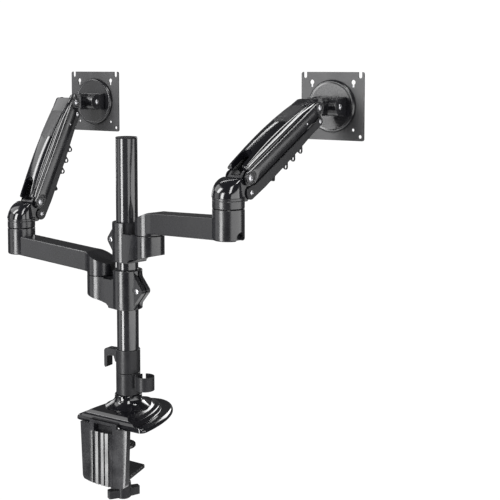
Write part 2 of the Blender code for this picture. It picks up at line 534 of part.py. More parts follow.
    # gas spring: cylinder pinned across the upper link, rod reaching back to the yoke
    gas_frame = (up_frame @ shift(GAS_AT[0], 0, GAS_AT[1])
                 @ Matrix.Rotation(-GAS_TILT, 4, 'Y') @ Matrix.Rotation(radians(-90), 4, 'Y'))
    gas = place(turned_mesh("gas_cylinder_" + s, [(0, 103), (4.0, 103), (4.0, 101), (7.0, 100),
                                                  (7.5, 98.5), (7.5, 3), (6.0, 0), (6.0, -4),
                                                  (0, -4)], 20), "gas_cylinder_" + s, gas_frame,
                "gloss_black")
    boolean(gas, rod("gas_cross_" + s, up_side @ shift(*GAS_AT, 0), 2.5, -21.5, 21.5, 12), 'UNION')
    boolean(gas, rod("gas_bore_" + s, gas_frame, 3.3, 30, 110, 14))
    reach = c["gas"]
    rod_obj = place(turned_mesh("gas_rod_" + s, [(0, reach - 3), (3, reach - 3), (3, 60), (0, 60)], 14),
                    "gas_rod_" + s, gas_frame, "rod_steel")
    boolean(rod_obj, rod("rod_eye_" + s, gas_frame @ shift(0, 0, reach) @ ALONG_Y, 5.4, -6, 6, 14),
            'UNION')

    # head bracket keeps level on the front pivots and carries the pan barrel
    front = (pivot[0] + LINK_L * cos(radians(c["lift"])), pivot[1] + LINK_L * sin(radians(c["lift"])))
    head_frame = yoke_frame @ shift(front[0], 0, front[1])
    head_side = head_frame @ ALONG_Y
    lug = capsule_hull((0, 0), 8.0, LINK_DROP, 6.8)
    head = place(outline_mesh("head_bracket_" + s, [lug], -TONGUE_HALF, TONGUE_HALF),
                 "head_bracket_" + s, head_side, "painted_black")
    boolean(head, block("head_neck_" + s, head_frame, 2, PAN_D, -8, 8, -9.0, 7.5), 'UNION')
    boolean(head, rod("pan_barrel_" + s, head_frame @ shift(PAN_D, 0, 0), 11, -10, 10, 20), 'UNION')
    for sign, name in ((1, "up"), (-1, "down")):
        lo, hi = sorted((sign * 10.0, sign * 15.5))
        boolean(head, rod("pan_relief_%s_%s" % (name, s), head_frame @ shift(PAN_D, 0, 0), 10.6, lo, hi, 20))
    boolean(head, rod("pan_bore_" + s, head_frame @ shift(PAN_D, 0, 0), 4.3, -30, 30, 14))
    for name, at, r in (("b", (0, 0), 3.5), ("d", LINK_DROP, 3.0)):
        boolean(head, rod("head_pin_%s_%s" % (name, s), head_side @ shift(*at, 0), r + GAP, -30, 30, 14))

    headed_pin("pivot_rear_upper_" + s, up_side, 3.5, UP_HALF + 0.1, 6.0, 2.2)
    headed_pin("pivot_front_upper_" + s, up_side @ shift(LINK_L, 0, 0), 3.5, UP_HALF + 0.1, 5.6, 2.2)
    headed_pin("pivot_rear_lower_" + s, low_side, 3.0, LOW_HALF + 0.1, 4.2, 1.0)
    headed_pin("pivot_front_lower_" + s, low_side @ shift(LINK_L, 0, 0), 3.0, LOW_HALF + 0.1, 4.2, 1.0)

    # pan knuckle: ears above and below the pan barrel, cross barrel for the tilt
    yaw = radians(c["yaw"])
    tx = head_frame.translation.x + PAN_D * MM * cos(yaw)
    ty = head_frame.translation.y + PAN_D * MM * sin(yaw)
    pan_frame = Matrix.Translation((tx, ty, head_frame.translation.z)) @ turn_z(c["head"])
    tilt_frame = pan_frame @ shift(TILT_D, 0, 0) @ ALONG_Y
    knuckle = place(outline_mesh("pan_knuckle_" + s, [circle(0, 0, 13.5, 24)], -23.5, 23.5),
                    "pan_knuckle_" + s, tilt_frame, "painted_black")
    ears = arc(0, 0, 9.5, 90, 270, 10) + [(TILT_D, -9.5), (TILT_D, 9.5)]
    boolean(knuckle, place(outline_mesh("pan_ears_" + s, [ears], -13.6, 13.6), "pan_ears_" + s,
                           pan_frame, tool=True), 'UNION')
    boolean(knuckle, rod("tilt_bore_" + s, tilt_frame, 3.3, -30, 30, 14))
    boolean(knuckle, rod("pan_room_" + s, pan_frame, 11.5, -10.3, 10.3, 20))
    boolean(knuckle, rod("pan_pin_" + s, pan_frame, 4.0, -12, 12, 14), 'UNION')
    headed_pin("tilt_bolt_" + s, tilt_frame, 3.0, 28.8, 5.2, 2.4)

    # tilt bracket, swivel disc and screen plate
    web_x0, web_x1 = FACE_D - TILT_D - 13.0, FACE_D - TILT_D - 9.6
    cheek = (arc(0, 0, 14.0, 65, 295, 14) + [(web_x1, -15.5), (web_x1, 15.5)])
    bracket = place(outline_mesh("tilt_bracket_" + s, [cheek], -28.6, 28.6), "tilt_bracket_" + s,
                    tilt_frame, "painted_black")
    boolean(bracket, place(outline_mesh("tilt_room_" + s, [box_loop(-30, web_x0, -30, 30)], -23.8, 23.8),
                           "tilt_room_" + s, tilt_frame, tool=True))
    boolean(bracket, rod("cheek_bore_" + s, tilt_frame, 3.3, -40, 40, 14))
    facing = pan_frame @ shift(FACE_D, 0, 0) @ ALONG_X
    disc = place(turned_mesh("swivel_disc_" + s, [(0, -2.8), (40.0, -2.8), (42.5, -4.2), (42.5, -6.0),
                                                  (39.5, -9.3), (0, -9.3)], 36), "swivel_disc_" + s,
                 facing, "painted_black")
    smooth(disc)
    w, h, k = 57.0, 55.0, 3.5
    slot = 3.2
    rim = arc(w - k, h - k, k, 0, 90, 4)
    for sx in (1, -1):
        edge = [(sx * 50 + slot, h), *arc(sx * 50, h - 7, slot, 0, -180, 6), (sx * 50 - slot, h)]
        rim += edge
    rim += arc(-w + k, h - k, k, 90, 180, 4) + arc(-w + k, -h + k, k, 180, 270, 4)
    rim += arc(w - k, -h + k, k, 270, 360, 4)
    holes = [circle(sx * 50, -48, 2.9, 14) for sx in (1, -1)]
    holes += [circle(sx * 37.5, -37.5, 2.4, 12) for sx in (1, -1)]
    for sx in (1, -1):
        holes.append(arc(sx * 37.5, 38.5, 4.0, -60, 240, 12) + [(sx * 37.5 - 2, 30.5), (sx * 37.5 + 2, 30.5)])
    plate_mesh = outline_mesh("screen_plate_" + s, [rim, *holes], -2.5, 0)
    place(plate_mesh, "screen_plate_" + s, facing @ turn_z(90), "plate_black")


for key, values in SIDES.items():
    build_side(key, values)
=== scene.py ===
"""Looks for a two-arm desk clamp monitor arm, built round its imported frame. Lengths are mm unless said."""

import json
import math
from math import cos, pi, radians, sin, tan

import bmesh
import bpy
from mathutils import Matrix, Vector


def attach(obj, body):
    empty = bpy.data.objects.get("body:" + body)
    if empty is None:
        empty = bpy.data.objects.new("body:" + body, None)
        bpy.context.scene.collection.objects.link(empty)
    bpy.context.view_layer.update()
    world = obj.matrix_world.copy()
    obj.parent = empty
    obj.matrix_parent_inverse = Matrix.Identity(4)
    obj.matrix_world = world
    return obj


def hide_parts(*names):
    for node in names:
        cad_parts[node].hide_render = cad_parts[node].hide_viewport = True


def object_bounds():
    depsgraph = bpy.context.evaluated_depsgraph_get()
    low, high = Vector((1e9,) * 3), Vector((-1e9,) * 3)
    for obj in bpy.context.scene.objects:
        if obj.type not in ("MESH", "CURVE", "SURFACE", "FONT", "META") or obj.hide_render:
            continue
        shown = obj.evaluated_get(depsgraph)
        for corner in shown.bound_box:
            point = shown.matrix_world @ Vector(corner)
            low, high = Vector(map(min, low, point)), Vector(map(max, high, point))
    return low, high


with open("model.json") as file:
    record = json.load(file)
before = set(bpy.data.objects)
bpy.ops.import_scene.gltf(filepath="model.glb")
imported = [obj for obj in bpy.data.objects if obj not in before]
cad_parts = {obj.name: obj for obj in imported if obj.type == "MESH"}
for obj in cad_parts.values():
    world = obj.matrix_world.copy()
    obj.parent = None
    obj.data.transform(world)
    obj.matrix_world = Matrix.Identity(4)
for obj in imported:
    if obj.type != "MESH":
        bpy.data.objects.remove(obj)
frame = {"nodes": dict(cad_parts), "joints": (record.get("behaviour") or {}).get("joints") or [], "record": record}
cad_box = [list(corner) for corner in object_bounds()]

MM = 0.001
WORLD = Matrix.Identity(4)
ALONG_Y = Matrix.Rotation(radians(90), 4, 'X')
ALONG_X = Matrix.Rotation(radians(90), 4, 'Y')

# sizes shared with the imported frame
POLE_R, POLE_BORE, POLE_FOOT, POLE_TOP = 17.5, 15.3, 5.8, 456.0
CLAMP_X, FACE_Y, BACK_Y, WALL, RECESS = -5.0, -58.0, -47.0, 4.0, 9.0
SCREW_X, SCREW_Y, SCREW_R, THREAD_PITCH = -5.0, -8.0, 5.0, 1.5
JAW_Z, JAW_T = -80.0, 5.0
CLIP_IN, CLIP_OUT = 17.95, 19.6
LOW_CLIP, TOP_CLIP = (42.2, 77.0), (77.4, 115.0)
BARREL_R, BARREL_D = 23.4, 58.0
COLLAR_R, LINER_R, COLLAR_LO, COLLAR_HI = 24.0, 19.3, -49.0, 14.4
ARM_L, ARM_HALF = 189.0, 17.0
BEAM_LO, BEAM_RISE, BEAM_H = 3.0, 0.062, 33.0
BOSS_R, BOSS_LO, BOSS_HI = 23.5, 14.8, 60.2
PIN_R = 5.5
REAR, LINK_DROP, LINK_L = (26.2, 41.7), (6.0, -21.5), 192.4
LOW = (REAR[0] + LINK_DROP[0], REAR[1] + LINK_DROP[1])
UP_HALF, UP_WALL = 20.0, 2.2
LOW_HALF, LOW_WALL = 16.6, 2.0
TONGUE_HALF, SLOT_HALF = 13.4, 8.6
GAS_AT, GAS_TILT = (151.0, -3.0), 2.6
PAN_D, TILT_D, FACE_D = 19.5, 22.6, 52.6
GAP = 0.3

# looks only: the top cover's lip, the base cover's slot, and the bracket's relief from its centre line
LIP = 3.7
SLOT_HALF_WIDTH = 27.6
BRACKET_GROOVES = ((-22.5, -16.0), (-11.0, -4.5), (0.4, 3.8), (9.6, 15.5))
BRACKET_RIDGES = ((-28.6, -22.2, -8.5), (-16.3, -10.7, -8.5), (-4.8, 0.7, -8.5), (3.5, 9.8, -8.5),
                  (38.6, 50, 3))
RIDGE_LEAN = tan(radians(13))
# cable clips under the lower link: place along it, drop, eye radius and rear face
LINK_CLIPS = ((52, 4.4, 1.4, 6.0), (86, 7.0, 2.9, 13.9), (107, 7.0, 2.9, 13.9), (128, 7.0, 2.9, 13.9))
LINK_CLIP_FRONT, LINK_CLIP_WALL = 16.3, 1.3


# ---------------------------------------------------------------- mesh tools
def shift(x, y, z):
    return Matrix.Translation((x * MM, y * MM, z * MM))


def turn(angle, axis='Z'):
    return Matrix.Rotation(radians(angle), 4, axis)


def arc(cx, cy, r, a0, a1, n):
    return [(cx + r * cos(radians(a0 + (a1 - a0) * i / n)), cy + r * sin(radians(a0 + (a1 - a0) * i / n)))
            for i in range(n + 1)]


def circle(cx, cy, r, n=64):
    return arc(cx, cy, r, 0, 360, n)[:-1]


def box_loop(x0, x1, y0, y1):
    return [(x0, y0), (x1, y0), (x1, y1), (x0, y1)]


def rounded_box(x0, x1, y0, y1, r, n=6):
    return (arc(x1 - r, y1 - r, r, 0, 90, n) + arc(x0 + r, y1 - r, r, 90, 180, n)
            + arc(x0 + r, y0 + r, r, 180, 270, n) + arc(x1 - r, y0 + r, r, 270, 360, n))


def rounded(value, power):
    return math.copysign(abs(value) ** power, value)


def smooth_points(points, steps=6, closed=False):
    """Catmull-Rom curve through the given points."""
    n = len(points)
    out = []
    for i in range(n if closed else n - 1):
        if closed:
            p0, p1, p2, p3 = (Vector(points[(i + k) % n]) for k in (-1, 0, 1, 2))
        else:
            p0, p1, p2, p3 = (Vector(points[min(max(i + k, 0), n - 1)]) for k in (-1, 0, 1, 2))
        for j in range(steps):
            t = j / steps
            out.append(tuple(0.5 * (2 * p1 + (p2 - p0) * t + (2 * p0 - 5 * p1 + 4 * p2 - p3) * t * t
                                    + (3 * p1 - p0 - 3 * p2 + p3) * t ** 3)))
    if not closed:
        out.append(tuple(points[-1]))
    return out


def made_mesh(obj):
    """Evaluated mesh of a temporary object, which is removed."""
    bpy.context.view_layer.update()
    mesh = bpy.data.meshes.new_from_object(obj.evaluated_get(bpy.context.evaluated_depsgraph_get()))
    bpy.data.objects.remove(obj, do_unlink=True)
    return mesh


def temp_object(mesh, at=WORLD):
    obj = bpy.data.objects.new("temp", mesh)
    bpy.context.scene.collection.objects.link(obj)
    obj.matrix_world = at
    return obj


def cleaned(mesh, dissolve=True):
    bm = bmesh.new()
    bm.from_mesh(mesh)
    bmesh.ops.remove_doubles(bm, verts=bm.verts, dist=2e-6)
    if dissolve:
        bmesh.ops.dissolve_limit(bm, angle_limit=radians(0.2), verts=bm.verts, edges=bm.edges)
    bmesh.ops.recalc_face_normals(bm, faces=bm.faces)
    bm.to_mesh(mesh)
    bm.free()
    return mesh


def slab(loops, lo, hi, at=WORLD):
    """Closed 2D loops, the first outside and the others holes, filled and extruded along local Z."""
    curve = bpy.data.curves.new("outline", 'CURVE')
    curve.dimensions = '2D'
    curve.fill_mode = 'BOTH'
    curve.extrude = (hi - lo) * MM / 2
    for loop in loops:
        spline = curve.splines.new('POLY')
        spline.points.add(len(loop) - 1)
        for point, (x, y) in zip(spline.points, loop):
            point.co = (x * MM, y * MM, 0.0, 1.0)
        spline.use_cyclic_u = True
    mesh = cleaned(made_mesh(temp_object(curve)))
    mesh.transform(at @ Matrix.Translation((0, 0, (hi + lo) * MM / 2)))
    return mesh


def block(x0, x1, y0, y1, z0, z1, at=WORLD):
    return slab([box_loop(x0, x1, y0, y1)], z0, z1, at)


def rod(r, lo, hi, at=WORLD, n=64):
    return slab([circle(0, 0, r, n)], lo, hi, at)


def turned(profile, steps=96, at=WORLD):
    """Profile (radius, height), top to bottom, run round local Z; off the axis it closes into a ring."""
    mesh = bpy.data.meshes.new("turned")
    count = len(profile)
    edges = [(i, i + 1) for i in range(count - 1)] + ([(count - 1, 0)] if profile[0][0] > 1e-6 else [])
    mesh.from_pydata([(r * MM, 0, z * MM) for r, z in profile], edges, [])
    obj = temp_object(mesh)
    screw = obj.modifiers.new("turn", 'SCREW')
    screw.steps = screw.render_steps = steps
    screw.use_merge_vertices = True
    screw.merge_threshold = 1e-6
    mesh = cleaned(made_mesh(obj), dissolve=False)
    mesh.transform(at)
    return mesh


def loft(rings, at=WORLD):
    """Rings of equal point counts, skinned in order, both ends filled."""
    bm = bmesh.new()
    rows = [[bm.verts.new((x * MM, y * MM, z * MM)) for x, y, z in ring] for ring in rings]
    n = len(rows[0])
    for low, high in zip(rows, rows[1:]):
        for i in range(n):
            bm.faces.new((low[i], low[(i + 1) % n], high[(i + 1) % n], high[i]))
    bm.faces.new(list(reversed(rows[0])))
    bm.faces.new(rows[-1])
    bmesh.ops.recalc_face_normals(bm, faces=bm.faces)
    mesh = bpy.data.meshes.new("loft")
    bm.to_mesh(mesh)
    bm.free()
    mesh.transform(at)
    return mesh


def combine(mesh, tools, operation):
    obj = temp_object(mesh)
    helpers = []
    for tool in tools:
        helper = temp_object(tool)
        helpers.append(helper)
        mod = obj.modifiers.new("combine", 'BOOLEAN')
        mod.operation = operation
        mod.solver = 'EXACT'
        mod.object = helper
    result = made_mesh(obj)
    for helper in helpers:
        bpy.data.objects.remove(helper, do_unlink=True)
    return cleaned(result)


def cut(mesh, *tools):
    return combine(mesh, tools, 'DIFFERENCE')


def join(mesh, *tools):
    return combine(mesh, tools, 'UNION')


def eased(mesh, width, segments=3, angle=32, sharp=40):
    """Rounded edges and smooth shading."""
    bm = bmesh.new()
    bm.from_mesh(mesh)
    bmesh.ops.dissolve_degenerate(bm, edges=bm.edges, dist=0.06 * MM)
    bm.to_mesh(mesh)
    bm.free()
    obj = temp_object(mesh)
    if width:
        mod = obj.modifiers.new("ease", 'BEVEL')
        mod.width = width * MM
        mod.segments = segments
        mod.limit_method = 'ANGLE'
        mod.angle_limit = radians(angle)
        mod.use_clamp_overlap = True
        mod.miter_outer = 'MITER_ARC'
    mesh = made_mesh(obj)
    bm = bmesh.new()
    bm.from_mesh(mesh)
    bmesh.ops.dissolve_degenerate(bm, edges=bm.edges, dist=4e-6)
    bm.to_mesh(mesh)
    bm.free()
    mesh.shade_smooth()
    mesh.set_sharp_from_angle(angle=radians(sharp))
    obj = temp_object(mesh)
    mod = obj.modifiers.new("weights", 'WEIGHTED_NORMAL')
    mod.keep_sharp = True
    mod.weight = 100
    return made_mesh(obj)


def merged(*meshes):
    """Several closed shells in one mesh."""
    bm = bmesh.new()
    for mesh in meshes:
        bm.from_mesh(mesh)
    out = bpy.data.meshes.new("merged")
    bm.to_mesh(out)
    bm.free()
    out.shade_smooth()
    out.set_sharp_from_angle(angle=radians(40))
    return out


# ---------------------------------------------------------------- materials
def finish(name, color, rough, metallic=0.0, coat=0.0, grain=0.35, grain_size=0.8, spread=0.07, edge_highlight=0.12,
           brushed=None, specular=0.5, tone=0.25):
    """Painted, moulded or plated surface: uneven tone and gloss, fine grain, and a painted highlight that makes
    sharp edges paler.
    """
    mat = bpy.data.materials.new(name)
    mat.use_nodes = True
    nodes, links = mat.node_tree.nodes, mat.node_tree.links
    shader = nodes["Principled BSDF"]
    shader.inputs["Metallic"].default_value = metallic
    shader.inputs["Coat Weight"].default_value = coat
    shader.inputs["Coat Roughness"].default_value = 0.06
    shader.inputs["Specular IOR Level"].default_value = specular
    where = nodes.new("ShaderNodeTexCoord")
    stretch = nodes.new("ShaderNodeMapping")
    stretch.inputs["Scale"].default_value = brushed or (1.0, 1.0, 1.0)
    links.new(where.outputs["Object"], stretch.inputs["Vector"])

    cloud = nodes.new("ShaderNodeTexNoise")
    cloud.inputs["Scale"].default_value = 38.0
    cloud.inputs["Detail"].default_value = 6.0
    links.new(where.outputs["Object"], cloud.inputs["Vector"])
    fine = nodes.new("ShaderNodeTexNoise")
    fine.inputs["Scale"].default_value = 1.0 / (grain_size * MM)
    fine.inputs["Detail"].default_value = 3.0
    links.new(stretch.outputs["Vector"], fine.inputs["Vector"])

    # tone: base colour, cloudy variation, then a painted highlight: a paler colour on sharp edges
    tones = nodes.new("ShaderNodeValToRGB")
    low = tuple(c * (1 - tone) for c in color)
    high = tuple(min(1.0, c * (1 + tone)) for c in color)
    tones.color_ramp.elements[0].position, tones.color_ramp.elements[0].color = 0.3, (*low, 1)
    tones.color_ramp.elements[1].position, tones.color_ramp.elements[1].color = 0.7, (*high, 1)
    links.new(cloud.outputs["Fac"], tones.inputs["Fac"])
    # painted highlight mask: pointiness of the mesh, scaled by the highlight strength
    shape = nodes.new("ShaderNodeNewGeometry")
    edge = nodes.new("ShaderNodeMapRange")
    edge.inputs["From Min"].default_value = 0.52
    edge.inputs["From Max"].default_value = 0.62
    edge.inputs["To Max"].default_value = edge_highlight
    links.new(shape.outputs["Pointiness"], edge.inputs["Value"])
    # painted highlight: a paler copy of the colour mixed into sharp edges
    edge_highlight_mix = nodes.new("ShaderNodeMix")
    edge_highlight_mix.data_type = 'RGBA'
    edge_highlight_mix.inputs["B"].default_value = (*(min(1.0, c * 3 + 0.05) for c in color), 1)
    links.new(edge.outputs["Result"], edge_highlight_mix.inputs["Factor"])
    links.new(tones.outputs["Color"], edge_highlight_mix.inputs["A"])
    links.new(edge_highlight_mix.outputs["Result"], shader.inputs["Base Color"])

    gloss = nodes.new("ShaderNodeMapRange")
    gloss.inputs["From Min"].default_value = 0.35
    gloss.inputs["From Max"].default_value = 0.65
    gloss.inputs["To Min"].default_value = max(0.02, rough - spread)
    gloss.inputs["To Max"].default_value = rough + spread
    mixed = nodes.new("ShaderNodeMath")
    mixed.operation = 'MULTIPLY_ADD'
    mixed.inputs[1].default_value = 0.4
    links.new(fine.outputs["Fac"], mixed.inputs[0])
    scaled = nodes.new("ShaderNodeMath")
    scaled.operation = 'MULTIPLY'
    scaled.inputs[1].default_value = 0.6
    links.new(cloud.outputs["Fac"], scaled.inputs[0])
    links.new(scaled.outputs["Value"], mixed.inputs[2])
    links.new(mixed.outputs["Value"], gloss.inputs["Value"])
    links.new(gloss.outputs["Result"], shader.inputs["Roughness"])

    bump = nodes.new("ShaderNodeBump")
    bump.inputs["Strength"].default_value = grain
    bump.inputs["Distance"].default_value = 0.04 * MM
    links.new(fine.outputs["Fac"], bump.inputs["Height"])
    links.new(bump.outputs["Normal"], shader.inputs["Normal"])
    return mat


PAINT = finish("black_paint", (0.004, 0.004, 0.005), 0.26, grain=0.05, grain_size=0.9, specular=0.42)
GLOSS = finish("gloss_shell", (0.003, 0.003, 0.004), 0.13, grain=0.03, grain_size=2.5, spread=0.03, edge_highlight=0.03,
               specular=0.50)
MATTE = finish("matte_shell", (0.008, 0.008, 0.009), 0.38, grain=0.25, grain_size=0.55, edge_highlight=0.04,
               specular=0.18)
INSERT = finish("matte_insert", (0.012, 0.012, 0.013), 0.50, grain=0.5, grain_size=0.45, edge_highlight=0.03,
                specular=0.35)
TUBE = finish("pole_finish", (0.005, 0.005, 0.006), 0.16, grain=0.06, grain_size=0.9,
              brushed=(1.0, 1.0, 0.04),
              spread=0.04, specular=0.50)
PLATE = finish("plate_finish", (0.014, 0.014, 0.015), 0.46, grain=0.4, grain_size=0.7, edge_highlight=0.05,
               specular=0.35)
STEEL = finish("screw_steel", (0.30, 0.30, 0.31), 0.34, metallic=1.0, grain=0.2, grain_size=0.5, tone=0.08,
               edge_highlight=0.2)
ROD = finish("rod_steel", (0.55, 0.55, 0.57), 0.18, metallic=1.0, grain=0.1, grain_size=0.4, tone=0.05,
             edge_highlight=0.2)
SLOT_OF = {"black_paint": PAINT, "gloss_shell": GLOSS, "matte_shell": MATTE, "pole_finish": TUBE,
           "plate_finish": PLATE, "screw_steel": STEEL, "rod_steel": ROD}


def piece(name, mesh, at, body, mat, *nodes, slot=None):
    """A finished piece: placed, coloured, riding on its body and standing for its CAD nodes."""
    mesh = mesh.copy()
    mesh.transform(at)
    obj = bpy.data.objects.new(name, mesh)
    bpy.context.scene.collection.objects.link(obj)
    mesh.materials.clear()
    mesh.materials.append(mat)
    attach(obj, body)
    if nodes:
        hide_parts(*nodes)
    return obj


# ---------------------------------------------------------------- screws and pins
def hex_loop(r, n=6):
    return circle(0, 0, r, n)


def socket_pin(r, half, head_r, head_t, recess=None, ends=(1, -1)):
    """Cross pin with a domed head and a hexagon socket at each end."""
    dome = [(head_r * sin(radians(a)), half + head_t * (0.35 + 0.65 * cos(radians(a)))) for a in
            range(0, 91, 15)]
    foot = [(x, -z) for x, z in reversed(dome)]
    mesh = turned([*dome, (head_r, half), (r, half), (r, -half), (head_r, -half), *foot], 48)
    recess = recess or head_r * 0.5
    tools = []
    for end in ends:
        lo, hi = sorted((end * (half + head_t * 0.15), end * (half + head_t + 1)))
        tools.append(slab([hex_loop(recess)], lo, hi))
    return eased(cut(mesh, *tools), 0.12, 1)


# ---------------------------------------------------------------- base and clamp
def half_oval(hw, depth, front, z, corner=0.5, front_z=None, n=72, flat=16, bend=8):
    """Half ellipse at height z behind a straight front edge at height front_z, with rounded corners."""
    fall = 0.0 if front_z is None else front_z - z
    ring = [(hw * cos(pi * i / n), front + corner + (depth - corner) * sin(pi * i / n),
             z) for i in range(n + 1)]
    left = arc(-hw + corner, front + corner, corner, 180, 270, bend)
    ring += [(x, y, z + fall * i / bend) for i, (x, y) in enumerate(left)][1:]
    ring += [(-hw + corner + 2 * (hw - corner) * i / flat, front, z + fall) for i in range(1, flat)]
    right = arc(hw - corner, front + corner, corner, 270, 360, bend)
    ring += [(x, y, z + fall * (bend - i) / bend) for i, (x, y) in enumerate(right)][:-1]
    return ring


def base_cover():
    # outline half-width, depth, front edge, height and corner, from the rolled rim's foot to the platform
    profile = [(66.8, 138.8, -50.4, 0.4, 8.0), (68.3, 140.6, -50.8, 0.8, 8.6)]
    for i in range(13):
        a = radians(-8 + 98 * i / 12)
        profile.append((62.3 + 7.2 * cos(a), 133.4 + 8.6 * cos(a), -50.0 - 1.0 * cos(a), 2.2 + 7.0 * sin(a),
                        8.6 - 1.6 * sin(max(0.0, a))))
    profile += [(59.5, 130.0, -50.2, 9.1, 6.0, 9.3), (57.2, 126.6, -51.2, 8.7, 4.0, 9.36),
                (55.6, 124.6, -52.4, 8.3, 2.0, 9.42), (54.6, 123.0, -53.6, 8.5, 0.6, 9.5),
                (54.0, 122.0, -54.0, 9.2, 0.5, 9.7), (53.2, 121.0, -54.3, 11.0, 0.5),
                (52.0, 119.2, -54.8, 14.2, 0.5), (51.4, 118.4, -55.0, 15.0, 0.5),
                (50.2, 117.0, -55.0, 15.5, 0.5),
                (45.0, 110.0, -55.0, 17.3, 0.5), (43.9, 108.4, -54.6, 18.0, 0.5),
                (39.2, 102.0, -50.4, 21.3, 0.5),
                (38.5, 101.0, -49.8, 21.7, 0.5), (37.6, 99.8, -49.0, 22.0, 0.5)]
    shell = loft([half_oval(*p) for p in profile])
    hollow = loft([half_oval(64.2, 132.2, -46.5, -1.0), half_oval(64.2, 132.2, -46.5, 5.4),
                   half_oval(47.0, 111.0, -50.0, 6.6), half_oval(45.0, 106.0, -50.0, 13.0),
                   half_oval(36.0, 95.0, -48.0, 19.0)])
    shell = cut(shell, hollow, rod(POLE_R + 0.5, 10, 30),
                block(CLAMP_X - SLOT_HALF_WIDTH, CLAMP_X + SLOT_HALF_WIDTH, -60, -44, -2, 9.6))
    return eased(shell, 0, sharp=34)


def pole_flange():
    flare = smooth_points([(37.0, 23.0), (33.0, 25.0), (28.0, 28.0), (24.6, 31.0), (23.0, 33.6)], 6)
    profile = [(20.6, 41.8), (21.6, 41.6), (22.0, 41.0), (22.0, 35.4), (22.3, 34.6), *reversed(flare),
               (37.0, 22.3), (POLE_R + 0.4, 22.3), (POLE_R + 0.4, 41.8)]
    mesh = turned(profile, 128)
    slots = [block(18, 30, -2.2, 2.2, 38.6, 45, turn(a)) for a in (-70, -35, 145, 215)]
    return eased(cut(mesh, *slots), 0.25, 2, 30)


def pole_tube():
    e = 0.6
    return eased(turned([(POLE_R - e, POLE_TOP), (POLE_R, POLE_TOP - e), (POLE_R, POLE_FOOT + e),
                         (POLE_R - e, POLE_FOOT), (POLE_BORE + e, POLE_FOOT), (POLE_BORE, POLE_FOOT + e),
                         (POLE_BORE, POLE_TOP - e), (POLE_BORE + e, POLE_TOP)], 128), 0)


def pole_cap():
    dome = [(16.6 * sin(radians(a)), 458.0 + 1.0 * cos(radians(a))) for a in range(0, 91, 15)]
    return eased(turned([*dome, (17.3, 457.7), (17.7, 457.2), (17.7, 456.6), (17.4, 456.3),
                         (POLE_BORE - GAP, 456.3), (POLE_BORE - GAP, 446.0), (0, 446.0)], 128), 0)


def clamp_bracket():
    x = CLAMP_X
    face = [(x - 47, 2), (x - 43.5, -80), *arc(x - 34, -83, 9.6, 195, 235, 4), (x - 20, -95), (x + 20, -95),
            *arc(x + 34, -83, 9.6, 305, 345, 4), (x + 43.5, -80), (x + 47, 2), (x + 27, 2), (x + 27, 9.2),
            (x - 27, 9.2), (x - 27, 2)]
    mesh = slab([face], -BACK_Y, -FACE_Y, ALONG_Y)
    pocket = [(x - 43, 20), (x - 39.8, -78), (x - 39.8, -110), (x + 39.8, -110), (x + 39.8, -78),
              (x + 43, 20),
              (x + 22, 20), (x + 22, -12), (x - 22, -12), (x - 22, 20)]
    tools = [slab([pocket], -BACK_Y - 5, -FACE_Y - WALL, ALONG_Y),
             slab([rounded_box(x - 19, x + 19, -9, 4.6, 2.5)], -FACE_Y - RECESS, -FACE_Y + 2, ALONG_Y)]
    for g0, g1 in BRACKET_GROOVES:
        wedge = [(x + g0, FACE_Y - 1), (x + g1, FACE_Y - 1), (x + g1 - 0.9, FACE_Y + 2.0),
                 (x + g0 + 0.9, FACE_Y + 2.0)]
        tools.append(slab([wedge], -100, -8.5))
    line = [(x + 17.8, -7.5), (x + 17.8, -92), (x + 18.5, -92), (x + 18.5, -7.5)]
    tools.append(slab([line], -FACE_Y - 0.6, -FACE_Y + 1, ALONG_Y))
    mesh = cut(mesh, *tools)
    # ridge faces lean back to the right, and so do the borders of both panels
    for r0, r1, top in BRACKET_RIDGES:
        sliver = [(x + r0, FACE_Y - 1), (x + r1, FACE_Y - 1), (x + r1, FACE_Y + (r1 - r0) * RIDGE_LEAN),
                  (x + r0, FACE_Y)]
        mesh = cut(mesh, slab([sliver], -100, top))
    mesh = cut(mesh, block(x - 60, x + 60, -51.3, -40, -0.2, 5.5))
    mesh = join(mesh, block(x - 27, x + 27, FACE_Y + 0.5, -30, 5.6, 9.2))
    return eased(mesh, 0.55, 3, 30)


def clamp_jaw():
    x = CLAMP_X
    outline = [(x + 38, -53.7), (x + 34, -30), *arc(x + 19, 15, 5, 0, 90, 6), *arc(x - 19, 15, 5, 90, 180, 6),
               (x - 34, -30), (x - 38, -53.7)]
    mesh = slab([outline], JAW_Z - JAW_T, JAW_Z)
    at = shift(SCREW_X, SCREW_Y, 0)
    mesh = join(mesh, block(x - 30, x + 30, -53.7, -49.7, JAW_Z - 2.0, -52),
                rod(10, JAW_Z - 12, JAW_Z - 1, at))
    return eased(cut(mesh, rod(SCREW_R + GAP, JAW_Z - 20, JAW_Z + 10, at)), 0.5, 3)


def clamp_screw():
    """Threaded spindle: a ridge of one turn per pitch laid along its length."""
    sides, ridge = 40, 0.55
    z = -57.5
    rings = []
    stops = [(-48.0, 3.1), (-48.4, 3.4), (-55.4, 3.4), (-56.6, SCREW_R - ridge)]
    for height, r in stops:
        rings.append([(r * cos(2 * pi * i / sides), r * sin(2 * pi * i / sides),
                       height) for i in range(sides)])
    steps_per_pitch = 6
    count = int((126.0 - 57.5) / THREAD_PITCH * steps_per_pitch)
    for k in range(count):
        height = z - k * THREAD_PITCH / steps_per_pitch
        ring = []
        for i in range(sides):
            phase = (k / steps_per_pitch + i / sides) % 1.0
            r = SCREW_R - ridge * min(1.0, max(0.0, abs(phase - 0.5) * 2.6 - 0.15))
            ring.append((r * cos(2 * pi * i / sides), r * sin(2 * pi * i / sides), height))
        rings.append(ring)
    for height, r in ((-126.3, SCREW_R - ridge), (-127.0, 4.0)):
        rings.append([(r * cos(2 * pi * i / sides), r * sin(2 * pi * i / sides),
                       height) for i in range(sides)])
    mesh = loft(rings)
    mesh.shade_smooth()
    mesh.set_sharp_from_angle(angle=radians(50))
    return mesh


